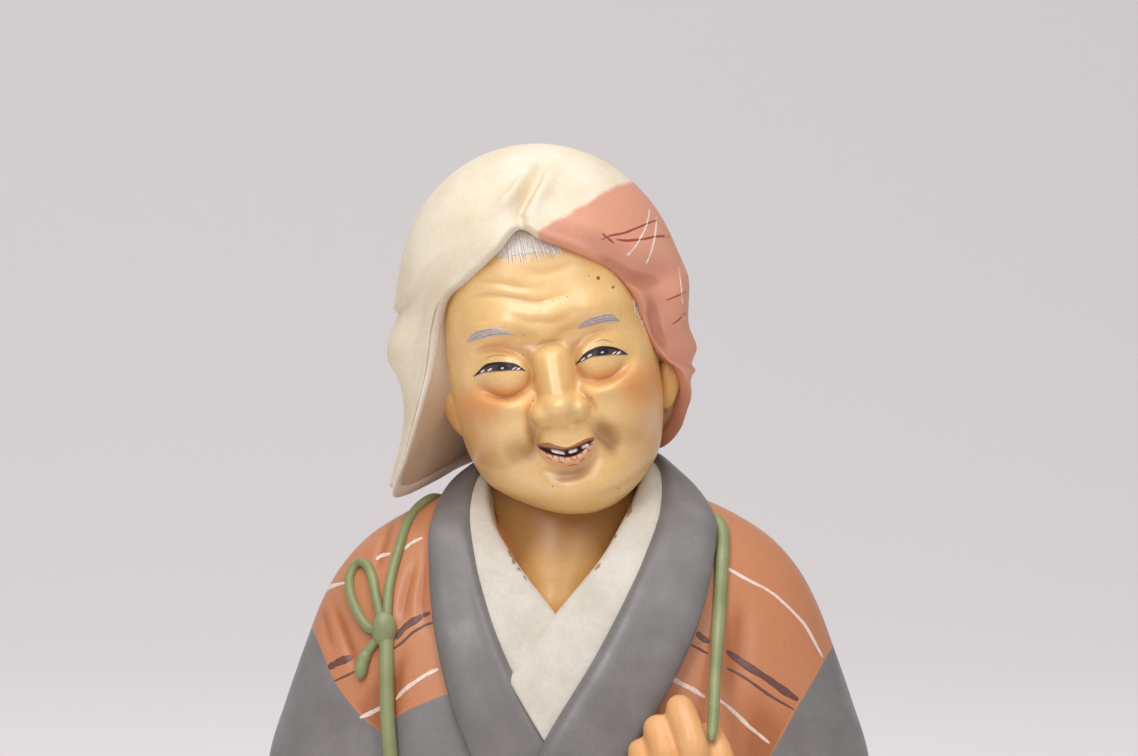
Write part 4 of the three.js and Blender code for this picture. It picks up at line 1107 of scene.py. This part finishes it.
a, b, f, forwards = head_grid(280, 340)
make_piece("head", [from_head(a, b, f)], skin, head_marks(a, b, forwards))
make_piece("ears", [ear_grid(*ear) for ear in EARS], neck_skin)
place, lip, turn = scarf_grid(330, 300)
make_piece("headscarf", [from_head(*np.moveaxis(place, -1, 0))], scarf_paint, scarf_marks(place, lip, turn))
coarse, coarse_lip, _ = scarf_grid(170, 220)
scarf_front = front_of(coarse[coarse_lip[:, 0] < 0.01])


def on_scarf(a, b):
    """Points on the headscarf's outside."""
    return from_head(a, b, scarf_front(a, b))


# Eyes: a dark ground, iris, pupil, white touches, a painted highlight glint on each iris, the thick upper
# lash line and thin lid lines.
EYES = [
    {
        "lash": [(-12.2, -5), (-11.1, -4.35), (-10.2, -3.75), (-9.1, -3.5), (-7.7, -3.6), (-6.4, -3.9),
            (-5.3, -4.4), (-4.1, -5.5)],
        "lower": [(-11.4, -4.8), (-10.5, -4.6), (-9.2, -4.65), (-7.6, -4.8), (-6.1, -4.95), (-5, -5.15),
            (-4.2, -5.4)],
        "iris": (-7.5, -4.4),
        "lid": [(-10, -2.7), (-8.9, -2.3), (-7.5, -2.4), (-6.5, -2.8)],
    },
    {
        "lash": [(3.5, -5.9), (4.5, -5.2), (5.3, -4.6), (6.3, -4.25), (7.5, -4.05), (8.8, -4.25),
            (9.9, -4.65), (10.8, -5.2), (11.7, -6)],
        "lower": [(3.7, -5.75), (4.9, -5.5), (6.1, -5.2), (7.4, -5.25), (8.9, -5.4), (10.1, -5.6),
            (11.2, -5.9)],
        "iris": (7.9, -4.8),
        "lid": [(6.9, -3.1), (8.1, -2.9), (9.1, -3.2), (9.8, -3.7)],
    },
]
IRIS_RADIUS = 1.45


def height_at(line, x):
    """Height of a spline of points at x."""
    return columns_at(line, x)[0]


def disc_in_eye(eye, radius, lift, steps=36):
    """A disc cut off by both lid lines."""
    x0, y0 = eye["iris"]
    x = x0 + radius * np.linspace(-1, 1, steps)
    half = np.sqrt(np.maximum(radius**2 - (x - x0) ** 2, 1e-6))
    low = np.maximum(y0 - half, height_at(eye["lower"], x) - 0.02)
    high = np.minimum(y0 + half, height_at(eye["lash"], x) + 0.02)
    return paint_layer(joined(x, np.minimum(low, high)), joined(x, high), on_face, lift, 12)


# White touches in each eye: across from the iris, up from the lower lid, and how wide.
TOUCHES = [(-3.1, 0.26, 0.36), (-1.95, 0.32, 0.34), (1.8, 0.28, 0.22), (2.5, 0.28, 0.4)]
grounds, irises, blacks, touches, thin_lines = [], [], [], [], []
for eye in EYES:
    x0, y0 = eye["iris"]
    grounds.append(paint_between(eye["lower"], eye["lash"], on_face, 40, 0.025))
    irises.append(disc_in_eye(eye, IRIS_RADIUS, 0.04))
    blacks.append(disc_in_eye(eye, 0.62 * IRIS_RADIUS, 0.05))
    blacks.append(stroke(eye["lash"], 0.52, on_face, ends=0.45, waver=0.06, steps=60, lift=0.06))
    for shift, up, wide in TOUCHES:
        x, y = x0 + shift, height_at(eye["lower"], x0 + shift) + up
        touches.append(stroke([(x - 0.42, y - 0.12), (x + 0.34, y + 0.16)], wide, on_face, steps=14,
            lift=0.05))
    # A painted highlight: a short white glint across the middle of the iris.
    touches.append(stroke([(x0 - 0.26, y0 + 0.04), (x0 + 0.22, y0 + 0.04)], 0.36, on_face, steps=12,
        lift=0.07))
    thin_lines.append(stroke(eye["lower"], 0.14, on_face, steps=40, lift=0.05))
    thin_lines.append(stroke(eye["lid"], 0.14, on_face, steps=30))
make_piece("eye_grounds", grounds, brush_paint("brown-black eye ground paint", "#54403D", 0.35))
make_piece("irises", irises, iris_grey)
make_piece("lashes_and_pupils", blacks, lash_black)
make_piece("eye_touches_and_glints", touches, brush_paint("pale eye-white paint", "#E4DAD6", 0.4))
make_piece("lid_lines", thin_lines, lid_grey)

# Brows: a grey patch under darker and lighter brush lines that run along it.
BROWS = [
    ([(-12.4, 0.3), (-10.4, 0.5), (-8.1, 0.65), (-6.1, 0.5), (-4.6, 0.2)],
     [(-12.4, 0.4), (-11.2, 1.5), (-9.3, 2), (-7.1, 1.75), (-4.6, 0.3)]),
    ([(4.7, -0.65), (6.5, -0.6), (8.4, -0.45), (10.3, -0.6), (11.5, -0.85)],
     [(4.7, -0.5), (6.3, 0.55), (8.3, 0.9), (10.2, 0.8), (11.5, -0.7)]),
]
random = np.random.default_rng(5)
patches, brow_lines, dark_hairs, light_hairs = [], [], [], []
for low, high in BROWS:
    patches.append(paint_between(low, high, on_face, 40, 0.02, 10, 0.03))
    for k in range(7):
        mix = (k + 0.5) / 7
        begin, end = sorted(random.uniform(0, 1, 2))
        if end - begin < 0.35:
            begin, end = 0.1, 0.95
        t = np.linspace(begin, end, 5)
        line = spline(low, t) + (spline(high, t) - spline(low, t)) * mix
        made = stroke(line.tolist(), 0.15, on_face, lift=0.04, steps=20, sides=6)
        (dark_hairs if k % 2 else brow_lines).append(made)
make_piece("brows", patches, brow_lilac)
make_piece("brow_lines", brow_lines, brow_light)

# Hair under the scarf's peak and at the right temple.
HAIR_TOP = [(-5.4, 12.9), (-3.4, 14.4), (-1.4, 15.8), (0.4, 14.9), (2.4, 13.6), (4.4, 12.4)]
HAIR_FOOT = [(-5, 12.4), (-3.7, 11.4), (-1.4, 10.6), (0.9, 10.8), (3.1, 10.9), (4.6, 11.2)]
TEMPLE_TOP = [(14, 3), (14.9, 0.4), (15.5, -2.4)]
TEMPLE_FOOT = [(13.7, 1.2), (14.3, -0.8), (14.9, -3)]
GROUND_SHARE = 0.72  # how much of the hairs' length the pale ground under them has
shorter = [
    (x, GROUND_SHARE * foot + (1 - GROUND_SHARE) * top) for (x, foot), (_, top) in zip(HAIR_FOOT, HAIR_TOP)
]
make_piece(
    "hair_ground", [paint_between(shorter, HAIR_TOP, on_face, 50, 0.02, ends=0.02)],
    brush_paint("pale hair ground paint", "#E2D8CE", 0.55),
)
dark_hairs += brush_fan(HAIR_TOP, HAIR_FOOT, 21, 0.10, on_face, 2)
light_hairs += brush_fan(HAIR_TOP, HAIR_FOOT, 30, 0.2, on_face, 3)
dark_hairs += brush_fan(TEMPLE_TOP, TEMPLE_FOOT, 5, 0.1, on_face, 8)
light_hairs += brush_fan(TEMPLE_TOP, TEMPLE_FOOT, 8, 0.16, on_face, 4)
make_piece("dark_hair_lines", dark_hairs, brow_dark)
make_piece("light_hair_lines", light_hairs, eye_white)

# Mouth: three teeth, the brown of the upper lip and short plum lines in the corners.
TEETH = [
    {"at": (-1.5, -18.42), "radii": (1, 0.6, 0.36), "slope": -0.42},
    {"at": (0.75, -18.7), "radii": (0.72, 0.6, 0.32), "slope": 0.1},
    {"at": (2.7, -18.35), "radii": (0.6, 0.6, 0.34), "slope": 0.2},
]
LIP_PEAKS = [(-4.5, -16.85), (-3.6, -16.7), (-2.5, -16.85), (-1.6, -17.3), (-0.8, -17.75), (0.2, -17.95),
    (0.9, -17.8), (2, -17.45), (3, -17.2), (3.8, -17.2), (4.5, -17.4)]
LIP_DASHES = [
    ((-3.4, -18.9), (-2.6, -19.5)), ((-1.7, -19.8), (-1.1, -20.3)), ((-0.4, -20.9), (1, -20.9)),
    ((1.5, -20.5), (2.4, -20.1)), ((2.9, -19.3), (3.5, -19)), ((0.4, -19.9), (0.9, -20.2)),
    ((3.2, -18.5), (3.9, -18.2)),
]


def tooth_grid(at, radii, slope):
    """A rounded block set a little behind the lips, in the head's frame, its ends up or down."""
    a0, b0 = at
    depth = float(face_front(np.array(a0), np.array(b0), 0)) - 0.62
    block = ball((a0, depth, b0), radii, 30, 32, full=0.6)
    return from_head(block[..., 0], block[..., 2] + slope * (block[..., 0] - a0), block[..., 1])


make_piece("teeth", [tooth_grid(**tooth) for tooth in TEETH], eye_white)
across_lip = np.linspace(-4.45, 4.4, 60)
lip_top = height_at(LIP_PEAKS, across_lip)
lip_low = np.minimum(height_at(UPPER_LIP, across_lip), lip_top - 0.02)
make_piece(
    "upper_lip",
    [paint_layer(joined(across_lip, lip_low), joined(across_lip, lip_top), on_face, PAINT_LIFT, 12)],
    brush_paint("red-brown lip paint", "#AD7444", 0.4),
)
lip_lines = [stroke([(x, y + 0.04) for x, y in UPPER_LIP], 0.26, on_face, ends=0.35, steps=60, lift=0.05)]
for k in range(8):
    x = -3.4 + 0.9 * k
    y = height_at(OPENING, x) + 0.05
    lip_lines.append(stroke([(x, y), (x + 0.12, y - 0.4 - 0.12 * (k % 3))], 0.15, on_face, steps=10,
        sides=6))
lip_lines += [stroke([p, q], 0.15, on_face, steps=14, sides=6) for p, q in LIP_DASHES]
make_piece("lip_lines", lip_lines, lip_dark)

# Age spots and small specks on the face.
SPOTS = [
    ((7.9, 7.1), (8.1, 7.1), 0.2), ((9.1, 6.6), (9.6, 6.3), 0.55), ((11.2, 4.75), (11.45, 4.5), 0.45),
    ((1.8, 4.3), (2, 4.3), 0.16), ((-7.1, 1), (-6.9, 1), 0.2), ((-3.4, 0), (-3.2, 0), 0.2),
    ((4.1, 4.6), (4.3, 4.55), 0.2), ((-3.9, -10.1), (-3.7, -10.1), 0.2),
    ((4.5, -12.6), (4.7, -12.6), 0.16), ((5.4, -19.6), (5.6, -19.6), 0.18),
    ((-3.4, -23.6), (-3.2, -23.65), 0.24), ((6.4, -25.9), (6.6, -25.9), 0.24),
    ((5, -11.2), (5.15, -11.3), 0.2),
]
make_piece("age_spots", [stroke([p, q], wide, on_face, steps=10, lift=0.02) for p, q, wide in SPOTS],
    speck_brown)

# Brush lines on the scarf.
RED_LINES = [
    ([(10.8, 12.1), (12.4, 12.5), (14.5, 12.5), (16.4, 12.8), (18.5, 13.2), (20.2, 13.4)], 0.34),
    ([(13.1, 11.8), (14.6, 11.3), (17.1, 11), (19.7, 10.9), (21.4, 10.4)], 0.38),
    ([(11.2, 13.1), (12.7, 11.2)], 0.3),
    ([(19, 1), (20.6, 1.3), (22.4, 1.7)], 0.24),
    ([(19.3, -2.9), (20.7, -2.2), (21.8, -1.4)], 0.26),
]
WHITE_LINES = [
    ([(19.1, 15.3), (18.8, 14.3), (17.9, 12.5), (16.6, 10.9), (15.5, 9.8), (14.4, 9.1)], 0.3),
    ([(19.9, 13.8), (19.6, 12.4), (18.8, 10.2), (17.8, 8.3), (16.9, 7.1)], 0.3),
    ([(21.9, 5.6), (21.8, 3.8), (21.6, 1.4), (21.4, -1.4), (21.3, -4), (21.2, -6.9)], 0.2),
    ([(14.9, 9.3), (14.3, 9)], 0.5),
    ([(-1.3, 26.1), (-1.1, 26.1)], 0.2),
]
make_piece("scarf_red_lines", strokes(RED_LINES, on_scarf, ends=0.3, steps=40), line_red)
make_piece("scarf_white_lines", strokes(WHITE_LINES, on_scarf, ends=0.3, steps=40), line_white)

# Body pieces

place, forwards = robe_grid(220, 400)
make_piece("robe", [place], robe_paint, robe_marks(place, forwards))
neck = neck_grid(120, 120)
# Painted shade on the neck, darker towards its sides and towards the top under the chin.
shaded = ease((np.abs(neck[..., 0] + 0.8) - 3.5) / 6) + ease((neck[..., 2] - 52) / 10)
make_piece("neck", [neck], neck_skin, {"sides": shaded})
make_piece("under_collar", [band_grid(*WHITE_BAND)], white_paint)
make_piece("collar", [band_grid(*GREY_BAND)], grey_paint)


def on_front_of(band):
    """A surface of x and z on the front of a band."""
    front = band_grid(*band, steps=200)[:, 1:24]
    depth = front_of(joined(front[..., 0], front[..., 2], -front[..., 1]))
    return lambda x, z: joined(x, -depth(x, z), z)


# Chips along the under-collar's inner edge, x and z, and their widths.
CHIPS = [
    ([(-9.3, 56.7), (-8.5, 55.7), (-8.3, 54.6)], 0.6), ([(-7.9, 54.2), (-7.3, 53.7)], 0.34),
    ([(-6.9, 53.1), (-6.4, 52.3)], 0.26), ([(9.5, 63.4), (9.3, 62.6), (8.8, 61.5)], 0.55),
    ([(7.2, 59), (6.9, 58.5)], 0.3), ([(4.8, 54.9), (3.9, 53.9)], 0.4),
]
make_piece("chips", strokes(CHIPS, on_front_of(WHITE_BAND), waver=0.3, steps=16), bare_clay)
make_piece(
    "cords",
    [
        cord_grid(LEFT_CORD, 0.02, THIN_CORD, 1),
        cord_grid(RIGHT_CORD, 0.1, 1, 0.8),
        cord_grid(BOW_LOOP, 0.03, THIN_CORD, THIN_CORD),
        cord_grid(BOW_TAIL, 0.2, THIN_CORD, 0.9),
        ball(laid([KNOT["place"]], CORD_RADIUS)[0], KNOT["radii"]),
    ],
    green_paint,
)

# Stripes on the shoulder pieces.
WHITE_STRIPES = [
    ([(-37.4, 49.4), (-36.8, 50.1), (-35.7, 50.7), (-34.2, 51.2)], 0.5),
    ([(-29.5, 54.8), (-28.6, 55.4), (-27.2, 55.8)], 0.55),
    ([(-25.1, 56.5), (-24.1, 57.4), (-22.3, 58.3)], 0.45),
    ([(-31.7, 31.4), (-30.3, 32), (-29.2, 32.6), (-28.2, 33.1)], 0.7),
    ([(-26.3, 34.2), (-24.9, 35.8), (-22.8, 37.4), (-21, 38.5), (-19.6, 39.1)], 0.6),
    ([(21.9, 55.1), (23.1, 54.2), (24.4, 53.6), (27.2, 52), (30.2, 50.4), (32.7, 48.4), (35.9, 45),
        (37.8, 41.7), (38.8, 39.8)], 0.46),
    ([(14.2, 38.6), (15.6, 37.7), (17.2, 36.8), (18.6, 36.1), (20.6, 34.8)], 0.75),
    ([(22.4, 34.6), (24, 33.4), (25.6, 31.9), (27.2, 30.3), (28.4, 29.3), (30.4, 27.6)], 0.6),
]
BROWN_STRIPES = [
    ([(-36.6, 38.5), (-35.6, 39.2), (-34.2, 39.9), (-32.7, 40.4)], 1.1),
    ([(-26.2, 43.4), (-25, 45), (-23.3, 46.2), (-21, 47.4)], 0.95),
    ([(-35.6, 36.7), (-34.6, 37.2), (-33.4, 37.8), (-32, 38.6)], 0.36),
    ([(-26.6, 41.9), (-25.2, 42.9), (-23.6, 44.4), (-21.7, 45.5), (-20.3, 46)], 0.42),
    ([(19.3, 44.5), (20.1, 43.7), (21.2, 43)], 0.9),
    ([(23.7, 41.7), (26.4, 39.7), (30.1, 37.3), (32.5, 35.5), (34.8, 33.9)], 1.1),
    ([(18.4, 42.7), (19.6, 42.1), (21, 41.3)], 0.4),
    ([(23.8, 39.1), (26.4, 37.7), (28.8, 36), (30.6, 34.7), (34.2, 32.5)], 0.45),
]
make_piece("white_stripes", strokes(WHITE_STRIPES, on_robe, ends=0.25, steps=50), line_white)
make_piece("brown_stripes", strokes(BROWN_STRIPES, on_robe, ends=0.25, steps=50), line_brown)

# Hand and sleeve
fingers = [bar(points, rounded_ends(FINGER_RADIUS, 0.16)) for points in FINGERS]
thumb = bar(THUMB, rounded_ends(THUMB_RADIUS, 0.16))
wrist = bar(WRIST, rounded_ends(WRIST_RADIUS, 0.1), sides=32)
hand = make_piece("hand", [*fingers, thumb, ball(PALM["centre"], PALM["radii"]), wrist], hand_skin)
melt = hand.modifiers.new("one skin", "REMESH")
melt.mode = "VOXEL"
melt.voxel_size = 0.32 * MM
melt.use_smooth_shade = True
even = hand.modifiers.new("softened folds", "SMOOTH")
even.iterations = 14
even.factor = 0.5


def sleeve_radius(t):
    """From the radius at its back to that at its mouth over the first two fifths."""
    return SLEEVE_RADII["back"] + (SLEEVE_RADII["mouth"] - SLEEVE_RADII["back"]) * ease(t / 0.4)


# The sleeve's foot is cut off level with the underside.
sleeve = bar(SLEEVE, sleeve_radius, 80, 64)
sleeve[..., 2] = np.maximum(sleeve[..., 2], 0)
make_piece("sleeve", [sleeve], grey_paint)


# Stage, light and camera

# The backdrop in metres: floor's front, where the bend begins, its radius, top and half width.
FLOOR_FRONT, BEND_START, BEND_RADIUS, WALL_TOP, HALF_WIDTH = -2, 0.4, 1.3, 3, 2.2


def make_stage():
    """A pale floor that curves up into a wall behind: straight, quarter round, straight."""
    angle = np.linspace(0, np.pi / 2, 49)
    bend = joined(BEND_START + BEND_RADIUS * np.sin(angle), BEND_RADIUS - BEND_RADIUS * np.cos(angle))
    rows = np.vstack([(FLOOR_FRONT, 0), bend, (BEND_START + BEND_RADIUS, WALL_TOP)])
    left = np.column_stack([np.full(len(rows), -HALF_WIDTH), rows])
    points = np.vstack([left, left * [-1, 1, 1]])
    count = len(rows)
    faces = [(k, k + count, k + count + 1, k + 1) for k in range(count - 1)]
    mesh = bpy.data.meshes.new("backdrop")
    mesh.from_pydata(points.tolist(), [], faces)
    mesh.shade_smooth()
    backdrop = add_object("backdrop", mesh)
    paper = bpy.data.materials.new("pale matt backdrop")
    paper.use_nodes = True
    shader = paper.node_tree.nodes["Principled BSDF"]
    feed(paper.node_tree, shader, {"Base Color": linear("#E9E4E5"), "Roughness": 0.9})
    mesh.materials.append(paper)


def add_softbox(name, place, target, size, power):
    """A white rectangular area light that faces a point."""
    light = bpy.data.lights.new(name, "AREA")
    light.shape = "RECTANGLE"
    light.size, light.size_y = size
    light.energy = power
    lamp = add_object(name, light)
    lamp.location = place
    lamp.rotation_euler = (Vector(target) - Vector(place)).to_track_quat("-Z", "Y").to_euler()


make_stage()
FOCUS = (0, 0, 0.0822)
add_softbox("top softbox", (0, -0.30, 0.85), FOCUS, (0.7, 0.5), 4.2)
add_softbox("left front softbox", (-0.34, -0.80, 0.66), FOCUS, (0.16, 0.42), 3.1)
add_softbox("right front softbox", (0.32, -0.80, 0.66), FOCUS, (0.18, 0.45), 1.6)
add_softbox("wall softbox", (-0.3, 0.5, 1.7), (-0.3, 1.6, 0.5), (2, 0.6), 11)
world = bpy.data.worlds.new("studio")
world.use_nodes = True
feed(world.node_tree, world.node_tree.nodes["Background"], {"Color": linear("#D8D5D6"), "Strength": 0.35})
bpy.context.scene.world = world
bpy.context.scene.view_settings.view_transform = "Standard"

DISTANCE, ELEVATION = 0.9, np.radians(2.5)
lens = bpy.data.cameras.new("camera")
lens.sensor_width = 36
lens.lens = 185
lens.clip_start, lens.clip_end = 0.01, 20
camera = add_object("camera", lens)
toward = Vector((0, -np.cos(ELEVATION), np.sin(ELEVATION)))
camera.location = Vector(FOCUS) + toward * DISTANCE
camera.rotation_euler = (-toward).to_track_quat("-Z", "Y").to_euler()
bpy.context.scene.camera = camera
